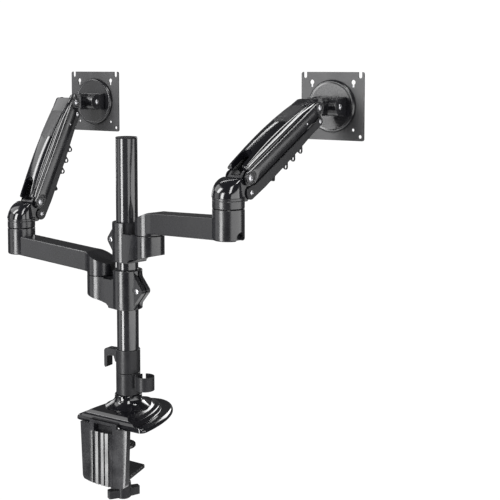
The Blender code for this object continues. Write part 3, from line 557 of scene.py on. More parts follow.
def clamp_knob():
    wing = [(-6, 8), (-23, 6.2), *arc(-24, 3.5, 2.5, 90, 180, 4), *arc(-24, -3.5, 2.5, 180, 270, 4),
            (-23, -6.2),
            (-6, -8), (6, -8), (23, -6.2), *arc(24, -3.5, 2.5, 270, 360, 4), *arc(24, 3.5, 2.5, 0, 90, 4),
            (23, 6.2), (6, 8)]
    hub = turned([(0, -103), (10.6, -103), (12, -104.4), (12, -128), (10.6, -129.5), (0, -129.5)], 64)
    mesh = join(slab([wing], -127.5, -114.5, turn(60)), hub)
    return eased(cut(mesh, rod(SCREW_R + GAP, -127.3, -100)), 1.3, 4, 30)


def pressure_pad():
    profile = [(0, -40.0), (18.5, -40.0), (19.6, -40.4), (20.0, -41.5), (20.0, -44.3), (19.4, -45.0),
               (9.4, -47.2), (8.4, -48.2), (7.5, -53.9), (6.9, -54.5), (3.8, -54.5), (3.8, -47.6), (0, -47.6)]
    mesh = turned(profile, 96)
    rings = [turned([(r + 0.5, -39.5), (r + 0.5, -40.5), (r - 0.5, -40.5), (r - 0.5, -39.5)], 96)
             for r in (5.0, 9.0, 13.0, 17.0)]
    return eased(cut(mesh, *rings), 0)


def clip_ring(lo, hi):
    e = 0.5
    return turned([(CLIP_OUT - e, hi), (CLIP_OUT, hi - e), (CLIP_OUT, lo + e), (CLIP_OUT - e, lo),
                   (CLIP_IN + 0.2, lo), (CLIP_IN, lo + 0.3), (CLIP_IN, hi - 0.3), (CLIP_IN + 0.2, hi)], 96)


def cable_clip_lower():
    loop = arc(35.5, 0, 15.0, -212, 126, 56) + arc(35.5, 0, 12.6, 126, -212, 52)
    at = turn(-2)
    mesh = join(clip_ring(*LOW_CLIP), slab([loop], 53, 75.5, at), block(18.6, 21.9, -6, 6, 53, 75.5, at))
    return eased(mesh, 0.45, 2, 35)


def cable_clip_upper():
    hook = [(18.5, 92), (18.5, 112), (38, 112), *arc(38.5, 107, 5, 80, 10, 5), (43.5, 83), (41.5, 80),
            (37.5, 81.5), (37.5, 97), *arc(33.5, 97.2, 4.0, 0, 90, 5), (24, 101), (21, 92)]
    mesh = join(clip_ring(*TOP_CLIP), slab([hook], -7.5, 7.5, turn(182) @ ALONG_Y))
    return eased(mesh, 0.6, 3, 35)


# ---------------------------------------------------------------- collars and lower arms
def collar(side):
    e = 1.2
    mesh = turned([(0, COLLAR_HI), (COLLAR_R - e, COLLAR_HI), (COLLAR_R - 0.3, COLLAR_HI - 0.4),
                   (COLLAR_R, COLLAR_HI - e), (COLLAR_R, COLLAR_LO + e), (COLLAR_R - 0.3, COLLAR_LO + 0.4),
                   (COLLAR_R - e, COLLAR_LO), (0, COLLAR_LO)], 96)
    barrel = turned([(0, -0.6), (BARREL_R - 0.8, -0.6), (BARREL_R - 0.2, -0.8), (BARREL_R, -1.4),
                     (BARREL_R, -50), (0, -50)], 96, shift(BARREL_D, 0, 0))
    web = [(6, -21), (24, -19.5), (40, -19.5), (52, -22), (52, 22), (40, 19.5), (24, 19.5), (6, 21)]
    mesh = join(mesh, barrel, slab([web], -49, -0.9))
    under = [(20, -60), (90, -60), (90, -28), (78, -31), (30, -42.5), (25.5, -46)]
    mesh = cut(mesh, slab([under], -30, 30, ALONG_Y))
    mid = (COLLAR_LO + COLLAR_HI) / 2
    ear = [(-15, mid - 30.5), (-22.5, mid - 30.5), (-24.5, mid - 21), *arc(-33.5, mid, 6.5, 225, 135, 10),
           (-24.5, mid + 21), (-22.5, mid + 30.5), (-15, mid + 30.5)]
    mesh = join(mesh, slab([ear], -10, 10, ALONG_Y))
    bolt_at = shift(-29.5, 0, mid) @ ALONG_Y
    mesh = cut(mesh, rod(LINER_R + GAP, -70, 40, n=96), block(-50, -10, -1.6, 1.6, -70, 40),
               rod(2.8, -20, 20, bolt_at, 32), rod(PIN_R + GAP, -26.3, 5, shift(BARREL_D, 0, 0)),
               block(12, 40, -9.5, 9.5, COLLAR_HI - 17, 40, turn(30 * side)))
    return eased(mesh, 0.55, 3, 34)


def bar_z(x):
    return BEAM_LO + BEAM_RISE * x


def beam_ring(x, half, lo, hi, r=2.6, n=5):
    corners = ((half - r, hi - r, 0), (-half + r, hi - r, 90), (-half + r, lo + r, 180),
               (half - r, lo + r, 270))
    return [(x, y, z) for cy, cz, a in corners for y, z in arc(cy, cz, r, a, a + 90, n)]


def lower_arm(side):
    mesh = turned([(0, 42), (BARREL_R, 42), (BARREL_R, 1.2), (BARREL_R - 0.3, 0.4), (BARREL_R - 1.1, 0),
                   (0, 0)],
                  96)
    slope = [(-30, 16), (-30, 60), (40, 60), (40, bar_z(40) + BEAM_H), (17, bar_z(17) + BEAM_H), (8, 33)]
    mesh = cut(mesh, slab([slope], -30, 30, ALONG_Y))
    rings = []
    for x, half in ((4, ARM_HALF + 4.2), (9, ARM_HALF + 3.6), (14, ARM_HALF + 2.2), (19, ARM_HALF + 1.0),
                    (26, ARM_HALF), (60, ARM_HALF), (110, ARM_HALF), (160, ARM_HALF), (ARM_L - 10, ARM_HALF)):
        hi = bar_z(x) + BEAM_H if x >= 17 else 33 + (x - 8) * (bar_z(17) + BEAM_H - 33) / 9
        rings.append(beam_ring(x, half, bar_z(x), hi))
    mesh = join(mesh, loft(rings))
    boss = turned([(0, BOSS_HI), (BOSS_R - 1.1, BOSS_HI), (BOSS_R - 0.3, BOSS_HI - 0.4),
                   (BOSS_R, BOSS_HI - 1.1),
                   (BOSS_R, BOSS_LO + 2.4), (BOSS_R - 0.7, BOSS_LO + 0.7), (BOSS_R - 2.4, BOSS_LO),
                   (0, BOSS_LO)], 96, shift(ARM_L, 0, 0))
    mesh = join(mesh, boss)
    hollow = loft([[(x, -13.5, bar_z(x) - 5), (x, 13.5, bar_z(x) - 5), (x, 13.5, bar_z(x) + BEAM_H - 4),
                    (x, -13.5, bar_z(x) + BEAM_H - 4)] for x in (30, 150)])
    notch = arc(0, BOSS_LO + 5, 8, 0, 180, 20) + [(-8, BOSS_LO - 5), (8, BOSS_LO - 5)]
    elbow = shift(ARM_L, 0, 0)
    mesh = cut(mesh, hollow, slab([notch], -30, -15, elbow @ turn(-90 + side * -8) @ ALONG_Y),
               rod(PIN_R + GAP, -5, 14.3), rod(PIN_R + GAP, BOSS_HI - 30.3, BOSS_HI + 5, elbow))
    return eased(mesh, 0.5, 3, 34)


def arm_cover():
    rings = [[(x, -12.9, bar_z(x) + 0.4), (x, 12.9, bar_z(x) + 0.4), (x, 13.2, bar_z(x) + 0.8),
              (x, 13.2, bar_z(x) + 2.4), (x, -13.2, bar_z(x) + 2.4), (x, -13.2, bar_z(x) + 0.8)]
             for x in (30.3, 149.7)]
    mesh = loft(rings)
    ribs = [block(x - 1.2, x + 1.2, -9, 9, bar_z(x) - 1, bar_z(x) + 1.2) for x in range(44, 140, 12)]
    return eased(cut(mesh, *ribs), 0.2, 2)


# ---------------------------------------------------------------- elbow
def yoke():
    mesh = turned([(0, 15.6), (BOSS_R - 0.4, 15.6), (BOSS_R, 15.2), (BOSS_R, 12.0), (BOSS_R - 0.5, 11.7),
                   (BOSS_R - 0.5, 11.3), (BOSS_R, 11.0), (BOSS_R, 1.1), (BOSS_R - 0.3, 0.4),
                   (BOSS_R - 1.1, 0),
                   (0, 0)], 96)
    spine = arc(*REAR, 11.3, -15, 128, 20) + [(2, 30), (-12, 14), (-12, 8), (26, 8)] + arc(*LOW, 9.3, -100,
                                                                                           -10, 12)
    mesh = join(mesh, slab([spine], -TONGUE_HALF, TONGUE_HALF, ALONG_Y))
    slot = [(20, 15.9), (60, 15.9), (60, 60), (16, 60), (14, 30)]
    mesh = cut(mesh, slab([slot], -SLOT_HALF, SLOT_HALF, ALONG_Y), rod(PIN_R + GAP, -5, 12.3),
               rod(3.8, -30, 30, ALONG_Y @ shift(*REAR, 0), 40),
               rod(3.3, -30, 30, ALONG_Y @ shift(*LOW, 0), 40))
    return eased(mesh, 0.5, 3, 34)


def hood():
    """Leaning dome over the elbow, cut back round the rear pivot and the tongue."""
    rings = []
    for k in range(33):
        t = sin(pi / 2 * k / 32)
        z = 15.9 + 27.1 * t
        bow = 1 - math.sqrt(max(0.0, 1 - 0.985 * t * t))
        back = -BOSS_R + 0.2 + 31.0 * bow
        front = 17.5 - 5.5 * min(1.0, 1.3 * t) + (3.0 * (t - 0.75) / 0.25 if t > 0.75 else 0.0)
        half = (BOSS_R - 0.2) * (1 - 0.30 * bow)
        mid_x, half_x = (front + back) / 2, (front - back) / 2
        ring = []
        for i in range(96):
            a = 2 * pi * (i + 0.5) / 96
            ring.append((mid_x + half_x * cos(a), half * rounded(sin(a), 0.92), z))
        rings.append(ring)
    mesh = loft(rings)
    keep_out = [(-12.5, 10), (-12.5, 14.5), (1.5, 30.8), (18.5, 51), (60, 60), (60, 10)]
    mesh = cut(mesh, slab([keep_out], -TONGUE_HALF - GAP, TONGUE_HALF + GAP, ALONG_Y),
               rod(13.9, -40, 40, ALONG_Y @ shift(*REAR, 0), 128))
    return eased(mesh, 0.4, 3, 45, 45)


# ---------------------------------------------------------------- spring arm
def upper_link():
    shell = (arc(0, 0, 12, 95, 260, 20) + [(8, -12.2), (150, -12.5), (180, -11)]
             + arc(LINK_L, 0, 10, -80, 60, 16) + [(184, 11.5), (170, 12), (12, 12)])
    mesh = slab([shell], -UP_HALF, UP_HALF, ALONG_Y)
    obj = temp_object(mesh)
    mod = obj.modifiers.new("flank", 'BEVEL')
    mod.width, mod.segments, mod.limit_method = 3.0 * MM, 1, 'ANGLE'
    mod.angle_limit = radians(50)
    mesh = made_mesh(obj)
    inner = UP_HALF - UP_WALL
    room = [(-30, -30), (230, -30), (230, 30), (176, 30), (176, 9.5), (38, 9.5), (38, 30), (-30, 30)]
    tools = [slab([room], -inner, inner, ALONG_Y)]
    for x, z, r in ((0, 0, 3.8), (LINK_L, 0, 3.8), (*GAS_AT, 2.8)):
        tools.append(rod(r, -30, 30, ALONG_Y @ shift(x, z, 0), 40))
    for sy in (-1, 1):
        for x, r in ((0, 7.2), (LINK_L, 6.6)):
            lo, hi = sorted((sy * (UP_HALF - 0.5), sy * (UP_HALF + 2)))
            tools.append(rod(r, lo, hi, ALONG_Y @ shift(x, 0, 0), 64))
    return eased(cut(mesh, *tools), 0.3, 2, 40)


def flank_panel(sy):
    """Convex skin over one side wall, hollowed in plan round both pivots, with rolled borders."""
    steps = [0.0, 0.0025, 0.006, 0.010, 0.016, 0.03, 0.06, 0.1, 0.15]
    along = steps + [0.15 + 0.7 * i / 20 for i in range(1, 20)] + [1 - v for v in reversed(steps)]
    across = [0.0, 0.02, 0.05, 0.08, 0.12, 0.18, 0.26, 0.34, 0.42, 0.5, 0.58, 0.66, 0.74, 0.82, 0.88, 0.92,
              0.95,
              0.98, 1.0]
    rings = []
    for u in along:
        outer, inner = [], []
        for v in across:
            x_mid = LINK_L * u
            low = -11.0 + 2.4 * max(0.0, (x_mid - 130) / 62) ** 2
            z = low + (8.9 - low) * v
            x0 = math.sqrt(max(0.0, 10.9 ** 2 - z * z))
            x1 = LINK_L - math.sqrt(max(0.0, 9.9 ** 2 - z * z))
            x = x0 + (x1 - x0) * u
            rim = min(min(u, 1 - u) * (x1 - x0), min(v, 1 - v) * (8.9 - low))
            lift = 0.75 * (1 - math.exp(-rim / 0.6)) + 1.15 * sin(pi * v) ** 1.2 * min(1.0, rim / 4)
            outer.append((x, sy * (UP_HALF - 0.05 + lift), z))
            inner.append((x, sy * (UP_HALF - 0.6), z))
        rings.append(outer + inner[::-1])
    return loft(rings)


def flanks():
    """Both side skins and the rolled rings round the pivots."""
    rings = []
    for sy in (-1, 1):
        rings.append(flank_panel(sy))
        for x, r in ((0, 8.7), (LINK_L, 7.9)):
            bead = [(r + 1.1 * cos(radians(a)), sy * (UP_HALF - 0.1) + 1.0 * sin(radians(a)))
                    for a in range(0, 360, 30)]
            rings.append(turned(bead, 72, shift(x, 0, 0) @ Matrix.Rotation(radians(-90), 4, 'X')))
    return merged(*rings)


def crown_levels(x):
    """Half width of the top cover at x, then the heights of its foot, the top of its lip and its peak."""
    peak = (21.5 - 7.2 * max(0.0, (x - 50) / 147) ** 2 - 1.5 * max(0.0, (50 - x) / 50) ** 2
            + 5.0 * sin(pi * x / 196))
    foot = 12.8 + 0.20 * (peak - 12.3)
    return 21.6 - 1.2 * abs(x - 90) / 107, foot, foot + min(LIP, 0.55 * (peak - foot)), peak


def crown_at(x, count=26):
    """Half cross-section of the top cover at x: a broad sloped lip above its foot, then the crown."""
    half, foot, lip_top, peak = crown_levels(x)
    shape = [(half - 0.5, 12.3), (half, 12.8), (half, foot)]
    for i in range(1, 6):
        t = i / 5
        bow = 0.22 * sin(pi * t)
        shape.append((half - LIP * t + bow, foot + (lip_top - foot) * t + bow))
    inner = half - LIP - 0.1
    for i in range(1, count):
        a = pi / 2 * i / count
        shape.append((inner * cos(a) ** 0.80, lip_top + 0.15 + (peak - lip_top - 0.15) * sin(a) ** 0.95))
    return shape, peak


def cover_ring(x, inset=0.0):
    half_shape, peak = crown_at(x)
    squeeze = 1 - 0.8 * inset / 21.6
    right = [(y * squeeze, z - inset * max(0.0, z - 12.4) / 9) for y, z in half_shape]
    ring = [(x, y, z) for y, z in right] + [(x, 0.0, peak - inset * (peak - 12.4) / 9)]
    ring += [(x, -y, z) for y, z in reversed(right)]
    return ring


def top_cover():
    stations = [(1.0, 2.6), (1.4, 1.4), (2.6, 0.4), (4, 0.0), (8, 0), (14, 0), (22, 0), (32, 0), (44, 0),
                (58, 0),
                (74, 0), (90, 0), (106, 0), (122, 0), (138, 0), (152, 0), (166, 0), (178, 0), (186, 0),
                (191.8, 0),
                (193.8, 0.5), (194.8, 1.5), (195.2, 2.6)]
    mesh = loft([cover_ring(*s) for s in stations])
    mouth = [(-20, -10.5), (26, -10.5), *arc(27.5, 0, 10.0, -78, 78, 18), (26, 10.5), (-20, 10.5)]
    mesh = cut(mesh, slab([mouth], 5, 40))
    return eased(mesh, 0.4, 3, 45, 48)


def cover_insert():
    """Matte panel let into the crown, following its curve, with a shallow vee at its rear edge."""
    x0, x1, n = 114.0, 166.0, 30
    lift, depth = 0.28, 1.2
    spans = 26
    rings = []
    for k in range(n + 1):
        t = k / n
        ring_top, ring_low = [], []
        for i in range(spans + 1):
            u = -1 + 2 * i / spans
            x = x0 - 4.0 * max(0.0, 1 - abs(u) * 2.2) + 2.5 * abs(u) ** 3
            x += (x1 + 1.5 * (1 - u * u) - x) * t
            half, _, lip_top, peak = crown_levels(x)
            inner, edge = half - LIP - 0.1, lip_top + 0.15
            a = math.acos(min(1.0, abs(u) * 0.86) ** (1 / 0.80))
            y = math.copysign(inner * cos(a) ** 0.80, u)
            z = edge + (peak - edge) * sin(a) ** 0.95
            ring_top.append((x, y, z + lift))
            ring_low.append((x, y * 0.985, z - depth))
        rings.append(ring_top + ring_low[::-1])
    return eased(loft(rings), 0.22, 2, 60, 50)


def lower_link():
    belly = (arc(0, 0, 10.4, 90, 255, 20) + [(30, -11.5), (110, -10), (165, -7)]
             + arc(LINK_L, 0, 7.0, -85, 90, 16) + [(184, 6), (12, 6), (8, 9)])
    mesh = slab([belly], -LOW_HALF, LOW_HALF, ALONG_Y)
    obj = temp_object(mesh)
    mod = obj.modifiers.new("flank", 'BEVEL')
    mod.width, mod.segments, mod.limit_method = 1.8 * MM, 4, 'ANGLE'
    mod.angle_limit = radians(50)
    mesh = made_mesh(obj)
    inner = LOW_HALF - LOW_WALL
    tray = [(-30, -30), (14, -30), (14, -8.6), (110, -7.6), (165, -4.6), (176, -4.6), (176, -30), (230, -30),
            (230, 30), (-30, 30)]
    loops = []
    for x, drop, eye_r, back in LINK_CLIPS:
        floor = -11.5 + 1.5 * (x - 30) / 80
        low, r = floor - drop, eye_r + LINK_CLIP_WALL
        clip = [(x - r - 2.6, floor + 2), (x - r - 0.9, low + r + 0.6), *arc(x, low + r, r, 190, 350, 16),
                (x + r + 0.9, low + r + 0.6), (x + r + 2.6, floor + 2)]
        loops.append(slab([clip, circle(x, low + r, eye_r, 28)], back, LINK_CLIP_FRONT, ALONG_Y))
    mesh = join(mesh, *loops)
    tools = [slab([tray], -inner, inner, ALONG_Y)]
    tools += [rod(3.3, -30, 30, ALONG_Y @ shift(x, 0, 0), 40) for x in (0, LINK_L)]
    return eased(cut(mesh, *tools), 0.3, 2, 40)


def gas_cylinder(gas_in_link):
    body = turned([(0, 103), (3.6, 103), (4.0, 102.6), (4.0, 101), (6.6, 100.2), (7.3, 99.4), (7.5, 98.5),
                   (7.5, 84), (7.1, 83.6), (7.1, 83.0), (7.5, 82.6), (7.5, 3), (6.8, 0.8), (6.0, 0),
                   (6.0, -4),
                   (0, -4)], 64)
    cross = rod(2.5, -21.5, 21.5, gas_in_link.inverted() @ shift(GAS_AT[0], 0, GAS_AT[1]) @ ALONG_Y, 32)
    return eased(cut(join(body, cross), rod(3.3, 30, 110, n=32)), 0.2, 2, 40)


def gas_rod(reach):
    mesh = turned([(0, reach - 3), (3, reach - 3), (3, 60.4), (2.6, 60), (0, 60)], 40)
    eye = slab([circle(0, 0, 5.4, 40)], -6, 6, shift(0, 0, reach) @ ALONG_Y)
    return eased(join(mesh, eye), 0.4, 2, 40)


# ---------------------------------------------------------------- head
def head_bracket():
    dx, dz = LINK_DROP
    d, base = math.hypot(dx, dz), math.degrees(math.atan2(dz, dx))
    off = math.degrees(math.acos((8.0 - 6.8) / d))
    lug = arc(dx, dz, 6.8, base - off, base + off, 20) + arc(0, 0, 8.0, base + off, base + 360 - off, 24)
    mesh = slab([lug], -TONGUE_HALF, TONGUE_HALF, ALONG_Y)
    pan = shift(PAN_D, 0, 0)
    mesh = join(mesh, block(2, PAN_D, -8, 8, -9.0, 7.5), rod(11, -10, 10, pan, 80))
    tools = [rod(10.6, *sorted((s * 10.0, s * 15.5)), pan) for s in (1, -1)]
    tools += [rod(4.3, -30, 30, pan, 40), rod(3.8, -30, 30, ALONG_Y, 40),
              rod(3.3, -30, 30, ALONG_Y @ shift(*LINK_DROP, 0), 40)]
    return eased(cut(mesh, *tools), 0.4, 3, 36)


def pan_knuckle():
    tilt = shift(TILT_D, 0, 0) @ ALONG_Y
    mesh = slab([circle(0, 0, 13.5, 80)], -23.5, 23.5, tilt)
    ears = arc(0, 0, 9.5, 90, 270, 28) + [(TILT_D, -9.5), (TILT_D, 9.5)]
    mesh = join(mesh, slab([ears], -13.6, 13.6))
    mesh = cut(mesh, rod(3.3, -30, 30, tilt, 40), rod(11.5, -10.3, 10.3, n=80))
    return eased(join(mesh, rod(4.0, -12, 12, n=40)), 0.45, 3, 36)


def tilt_bracket():
    web_x0, web_x1 = FACE_D - TILT_D - 13.0, FACE_D - TILT_D - 9.6
    cheek = arc(0, 0, 14.0, 65, 295, 32) + [(web_x1, -15.5), (web_x1, 15.5)]
    mesh = slab([cheek], -28.6, 28.6, ALONG_Y)
    mesh = cut(mesh, slab([box_loop(-30, web_x0, -30, 30)], -23.8, 23.8, ALONG_Y),
               rod(3.3, -40, 40, ALONG_Y, 40))
    return eased(mesh, 0.7, 3, 36)


def swivel_disc():
    rim = [(40.0, -2.8), (41.6, -3.2), (42.3, -4.0), (42.5, -5.0), (42.3, -6.2), (41.4, -7.8), (40.6, -8.9),
           (39.7, -9.3), (38.4, -9.2), (37.6, -8.8), (36.4, -8.7)]
    return eased(turned([(0, -2.8), *rim, (0, -8.7)], 128), 0, sharp=35)


def screen_plate():
    w, h, k, slot = 57.0, 55.0, 3.5, 3.2
    rim = arc(w - k, h - k, k, 0, 90, 8)
    for sx in (1, -1):
        rim += [(sx * 50 + slot, h), *arc(sx * 50, h - 7, slot, 0, -180, 12), (sx * 50 - slot, h)]
    rim += arc(-w + k, h - k, k, 90, 180, 8) + arc(-w + k, -h + k, k, 180, 270, 8) + arc(w - k, -h + k, k,
                                                                                         270, 360, 8)
    holes = [circle(sx * 50, -48, 2.9, 32) for sx in (1, -1)] + [circle(sx * 37.5, -37.5, 2.4,
                                                                        28) for sx in (1, -1)]
    holes += [arc(sx * 37.5, 38.5, 4.0, -60, 240, 24) + [(sx * 37.5 - 2, 30.5), (sx * 37.5 + 2, 30.5)]
              for sx in (1, -1)]
    mesh = slab([rim, *holes], -2.5, 0)
    return eased(mesh, 0.35, 2, 40)


# ---------------------------------------------------------------- where things are, from the frame's joints
joints = {j["name"]: j for j in frame["joints"]}


def at_joint(name):
    return Vector(joints[name]["pos_m"]) / MM


def side_frames(s):
    """Local frames of one side's pieces, worked out from its joints."""
    collar_at, swivel, elbow = (at_joint(n + s) for n in ("collar_turn_", "arm_swivel_", "elbow_swivel_"))
    rear, front, pan = (at_joint(n + s) for n in ("arm_lift_", "head_level_", "head_pan_"))
    axis = joints["arm_lift_" + s]["axis"]
    yaw = math.degrees(math.atan2(axis[0], -axis[1]))
    reach = front - rear
    lift = math.degrees(math.asin(reach.z / reach.length))
    collar_turn = math.degrees(math.atan2(swivel.y - collar_at.y, swivel.x - collar_at.x))
    beam_turn = math.degrees(math.atan2(elbow.y - swivel.y, elbow.x - swivel.x))
    f = {"yaw": yaw, "lift": lift}
    f["collar"] = shift(*collar_at) @ turn(collar_turn)
    f["arm"] = shift(*swivel) @ turn(beam_turn)
    f["yoke"] = shift(*elbow) @ turn(yaw)
    f["up"] = f["yoke"] @ shift(REAR[0], 0, REAR[1]) @ turn(-lift, 'Y')
    f["low"] = f["yoke"] @ shift(LOW[0], 0, LOW[1]) @ turn(-lift, 'Y')
    f["gas_in_link"] = shift(GAS_AT[0], 0, GAS_AT[1]) @ turn(-GAS_TILT, 'Y') @ turn(-90, 'Y')
    f["head"] = shift(*front) @ turn(yaw)
    f["pan"] = shift(*pan) @ turn(90)
    f["tilt"] = f["pan"] @ shift(TILT_D, 0, 0)
    f["face"] = f["pan"] @ shift(FACE_D, 0, 0) @ ALONG_X
    return f


# ---------------------------------------------------------------- build
GAS_REACH = {"r": 152.2, "l": 158.2}
GAS_AT_3D = (GAS_AT[0], 0, GAS_AT[1])

piece("base_cover_shell", base_cover(), WORLD, "stand", GLOSS, "base_cover")
piece("flange_shell", pole_flange(), WORLD, "stand", GLOSS, "pole_flange")
piece("pole_tube", pole_tube(), WORLD, "stand", TUBE, "pole")
piece("pole_end_cap", pole_cap(), WORLD, "stand", MATTE, "pole_cap")
piece("bracket_body", clamp_bracket(), WORLD, "stand", PAINT, "clamp_bracket")
piece("jaw_body", clamp_jaw(), WORLD, "stand", PAINT, "clamp_jaw")
screw_at = shift(SCREW_X, SCREW_Y, 0)
piece("screw_spindle", clamp_screw(), screw_at, "screw", ROD, "clamp_screw")
piece("knob_body", clamp_knob(), screw_at, "screw", MATTE, "clamp_knob")
piece("pad_body", pressure_pad(), screw_at, "pad", PAINT, "pressure_pad")
piece("clip_lower_body", cable_clip_lower(), WORLD, "clip_low", MATTE, "cable_clip_lower")
piece("clip_upper_body", cable_clip_upper(), WORLD, "clip_top", MATTE, "cable_clip_upper")

MID = (COLLAR_LO + COLLAR_HI) / 2
meshes = {"arm_cover": arm_cover(), "yoke": yoke(), "hood": hood(), "upper_link": upper_link(),
          "flanks": flanks(), "top_cover": top_cover(), "cover_insert": cover_insert(),
          "lower_link": lower_link(), "head_bracket": head_bracket(), "pan_knuckle": pan_knuckle(),
          "tilt_bracket": tilt_bracket(), "swivel_disc": swivel_disc(), "screen_plate": screen_plate(),
          "collar_bolt": socket_pin(2.5, 10.1, 4.4, 2.4), "tilt_bolt": socket_pin(3.0, 28.8, 4.6, 2.0, 2.4),
          "rear_upper": socket_pin(3.5, UP_HALF - 0.4, 4.8, 1.6, 2.2),
          "front_upper": socket_pin(3.5, UP_HALF - 0.4, 4.4, 1.6, 2.0),
          "lower_pin": socket_pin(3.0, LOW_HALF + 0.1, 3.6, 1.0, 1.7),
          "gas_screw": merged(*(turned([(0, s * 22.2), (1.2, s * 22.1), (2.0, s * 21.7), (2.1, s * 21.55),
                                        (0, s * 21.55)], 32, ALONG_Y) for s in (-1, 1)))}

for s in ("r", "l"):
    f = side_frames(s)
    side = -1 if s == "r" else 1
    up_y, low_y, head_y, tilt_y = (f[k] @ ALONG_Y for k in ("up", "low", "head", "tilt"))
    gas_at = f["up"] @ f["gas_in_link"]
    rows = [
        ("collar_body_", collar(side), f["collar"], "collar_", PAINT, ["collar_"]),
        ("collar_screw_", meshes["collar_bolt"], f["collar"] @ shift(-29.5, 0, MID) @ ALONG_Y, "collar_",
         STEEL,
         ["collar_bolt_"]),
        ("arm_body_", lower_arm(side), f["arm"], "lower_arm_", PAINT, ["lower_arm_"]),
        ("arm_under_cover_", meshes["arm_cover"], f["arm"], "lower_arm_", MATTE, ["arm_cover_"]),
        ("yoke_body_", meshes["yoke"], f["yoke"], "yoke_", PAINT, ["yoke_"]),
        ("hood_shell_", meshes["hood"], f["yoke"], "yoke_", GLOSS, ["hood_"]),
        ("upper_link_body_", meshes["upper_link"], f["up"], "upper_link_", PAINT, ["upper_link_"]),
        ("flank_skin_", meshes["flanks"], f["up"], "upper_link_", PAINT, []),
        ("gas_screw_", meshes["gas_screw"], f["up"] @ shift(*GAS_AT_3D), "upper_link_", STEEL, []),
        ("top_cover_shell_", meshes["top_cover"], f["up"], "upper_link_", GLOSS, ["top_cover_"]),
        ("cover_insert_", meshes["cover_insert"], f["up"], "upper_link_", INSERT, []),
        ("lower_link_body_", meshes["lower_link"], f["low"], "lower_link_", MATTE, ["lower_link_"]),
        ("gas_cylinder_body_", gas_cylinder(f["gas_in_link"]), gas_at, "upper_link_", GLOSS,
         ["gas_cylinder_"]),
        ("gas_rod_body_", gas_rod(GAS_REACH[s]), gas_at, "gas_rod_", ROD, ["gas_rod_"]),
        ("head_bracket_body_", meshes["head_bracket"], f["head"], "head_", PAINT, ["head_bracket_"]),
        ("knuckle_body_", meshes["pan_knuckle"], f["pan"], "knuckle_", PAINT, ["pan_knuckle_"]),
        ("tilt_bracket_body_", meshes["tilt_bracket"], f["tilt"], "tilt_", PAINT, ["tilt_bracket_"]),
        ("disc_body_", meshes["swivel_disc"], f["face"], "tilt_", PAINT, ["swivel_disc_"]),
        ("plate_body_", meshes["screen_plate"], f["face"] @ turn(90), "plate_", PLATE, ["screen_plate_"]),
        ("tilt_screw_", meshes["tilt_bolt"], tilt_y, "knuckle_", STEEL, ["tilt_bolt_"]),
        ("rear_upper_screw_", meshes["rear_upper"], up_y, "yoke_", STEEL, ["pivot_rear_upper_"]),
        ("front_upper_screw_", meshes["front_upper"], head_y, "head_", STEEL, ["pivot_front_upper_"]),
        ("rear_lower_screw_", meshes["lower_pin"], low_y, "yoke_", STEEL, ["pivot_rear_lower_"]),
        ("front_lower_screw_", meshes["lower_pin"], head_y @ shift(*LINK_DROP, 0), "head_", STEEL,
         ["pivot_front_lower_"]),
    ]
    for name, mesh, at, body, mat, nodes in rows:
        piece(name + s, mesh, at, body + s, mat, *(n + s for n in nodes))

# CAD nodes that still show take the same finishes
slots = {part["node"]: part["material_slot"] for part in frame["record"]["subparts"]}
for node, obj in frame["nodes"].items():
    obj.data.materials.clear()
    obj.data.materials.append(SLOT_OF[slots[node]])

# ---------------------------------------------------------------- floor, light, camera
DESK_HEIGHT = 0.62
FLOOR_Z = cad_box[0][2] - DESK_HEIGHT


def pale(name, color, rough):
    mat = bpy.data.materials.new(name)
    mat.use_nodes = True
    nodes, links = mat.node_tree.nodes, mat.node_tree.links
    shader = nodes["Principled BSDF"]
    shader.inputs["Roughness"].default_value = rough
    shader.inputs["Emission Color"].default_value = (1.0, 1.0, 1.0, 1.0)
    shader.inputs["Emission Strength"].default_value = 0.6
    noise = nodes.new("ShaderNodeTexNoise")
    noise.inputs["Scale"].default_value = 6.0
    ramp = nodes.new("ShaderNodeValToRGB")
    ramp.color_ramp.elements[0].color = (*(c * 0.985 for c in color), 1)
    ramp.color_ramp.elements[1].color = (*color, 1)
    links.new(noise.outputs["Fac"], ramp.inputs["Fac"])
    links.new(ramp.outputs["Color"], shader.inputs["Base Color"])
    return mat


floor_bm = bmesh.new()
bmesh.ops.create_circle(floor_bm, cap_ends=True, segments=96, radius=1.45)
floor_mesh = bpy.data.meshes.new("floor")
floor_bm.to_mesh(floor_mesh)
floor_bm.free()
floor = bpy.data.objects.new("floor", floor_mesh)
bpy.context.scene.collection.objects.link(floor)
floor.location = (0, 0, FLOOR_Z)
floor_mesh.materials.append(pale("pale_floor", (0.55, 0.55, 0.55), 0.8))

world = bpy.data.worlds.new("studio")
bpy.context.scene.world = world
world.use_nodes = True
bpy.context.scene.view_settings.view_transform = 'Standard'
sky_nodes, sky_links = world.node_tree.nodes, world.node_tree.links
seen = sky_nodes["Background"]
seen.inputs["Color"].default_value = (1.0, 1.0, 1.0, 1)
seen.inputs["Strength"].default_value = 1.05
room = sky_nodes.new("ShaderNodeBackground")
room.inputs["Color"].default_value = (1.0, 1.0, 1.0, 1)
room.inputs["Strength"].default_value = 0.10
ray = sky_nodes.new("ShaderNodeLightPath")
pick = sky_nodes.new("ShaderNodeMixShader")
sky_links.new(ray.outputs["Is Camera Ray"], pick.inputs["Fac"])
sky_links.new(room.outputs["Background"], pick.inputs[1])
sky_links.new(seen.outputs["Background"], pick.inputs[2])
sky_links.new(pick.outputs["Shader"], sky_nodes["World Output"].inputs["Surface"])


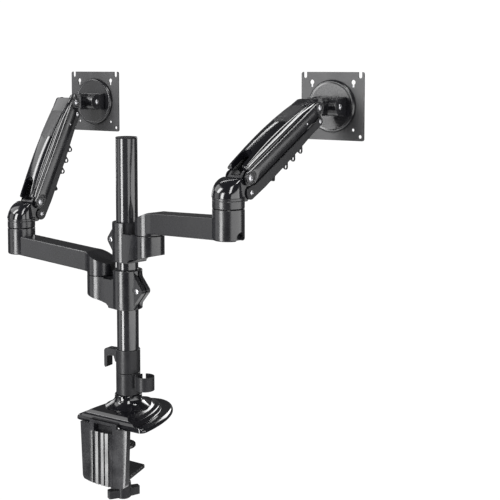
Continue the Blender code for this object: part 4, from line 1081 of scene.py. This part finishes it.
def panel(name, at, aim, width, height, radiance):
    """Softbox whose face has the given radiance; the camera doesn't see it."""
    data = bpy.data.lights.new(name, 'AREA')
    data.shape = 'RECTANGLE'
    data.size, data.size_y, data.energy = width, height, radiance * pi * width * height
    obj = bpy.data.objects.new(name, data)
    bpy.context.scene.collection.objects.link(obj)
    obj.location = at
    obj.rotation_euler = (Vector(aim) - Vector(at)).to_track_quat('-Z', 'Y').to_euler()
    obj.visible_camera = False
    return obj


CENTRE, RIGHT_ARM, LEFT_ARM = (0.0, 0.0, 0.2), (0.25, 0.05, 0.45), (-0.24, 0.08, 0.4)
panel("left_strip", (-0.65, -2.6, 0.1), (0.0, 0.0, 0.1), 0.85, 3.2, 20)
panel("left_fill", (-2.4, -1.8, 0.3), CENTRE, 1.5, 2.2, 1.7)
panel("right_panel", (2.7, 0.0, 0.03), (0.0, 0.0, 0.03), 4.4, 1.55, 4.5)
panel("top_panel", (1.2, 0.4, 2.4), RIGHT_ARM, 1.3, 0.5, 20)
panel("front_high", (1.15, -1.36, 1.72), LEFT_ARM, 0.5, 1.6, 18)
panel("crown_right", (-1.31, 1.09, 2.25), RIGHT_ARM, 1.2, 0.10, 10)
panel("crown_left", (-1.55, -1.33, 1.80), LEFT_ARM, 0.6, 1.1, 14)
panel("big_left", (-1.79, -0.78, 1.78), (0.0, 0.0, 0.1), 2.0, 1.2, 3)
panel("back_left", (-2.2, 0.8, 0.55), (0.0, 0.0, 0.03), 1.2, 0.9, 3)
panel("back_sky", (0.0, 2.25, 0.82), (0.0, 0.0, 0.03), 1.1, 0.9, 9)

camera_data = bpy.data.cameras.new("camera")
camera_data.sensor_width = 36.0
camera_data.lens = 76.35
camera_data.shift_x = 0.0051
camera_data.shift_y = -0.219
camera_data.dof.use_dof = False
camera = bpy.data.objects.new("camera", camera_data)
bpy.context.scene.collection.objects.link(camera)
camera.location = (1.0742, -1.3148, 0.572)
camera.rotation_euler = (radians(85.93), 0.0, radians(32.72))
bpy.context.scene.camera = camera
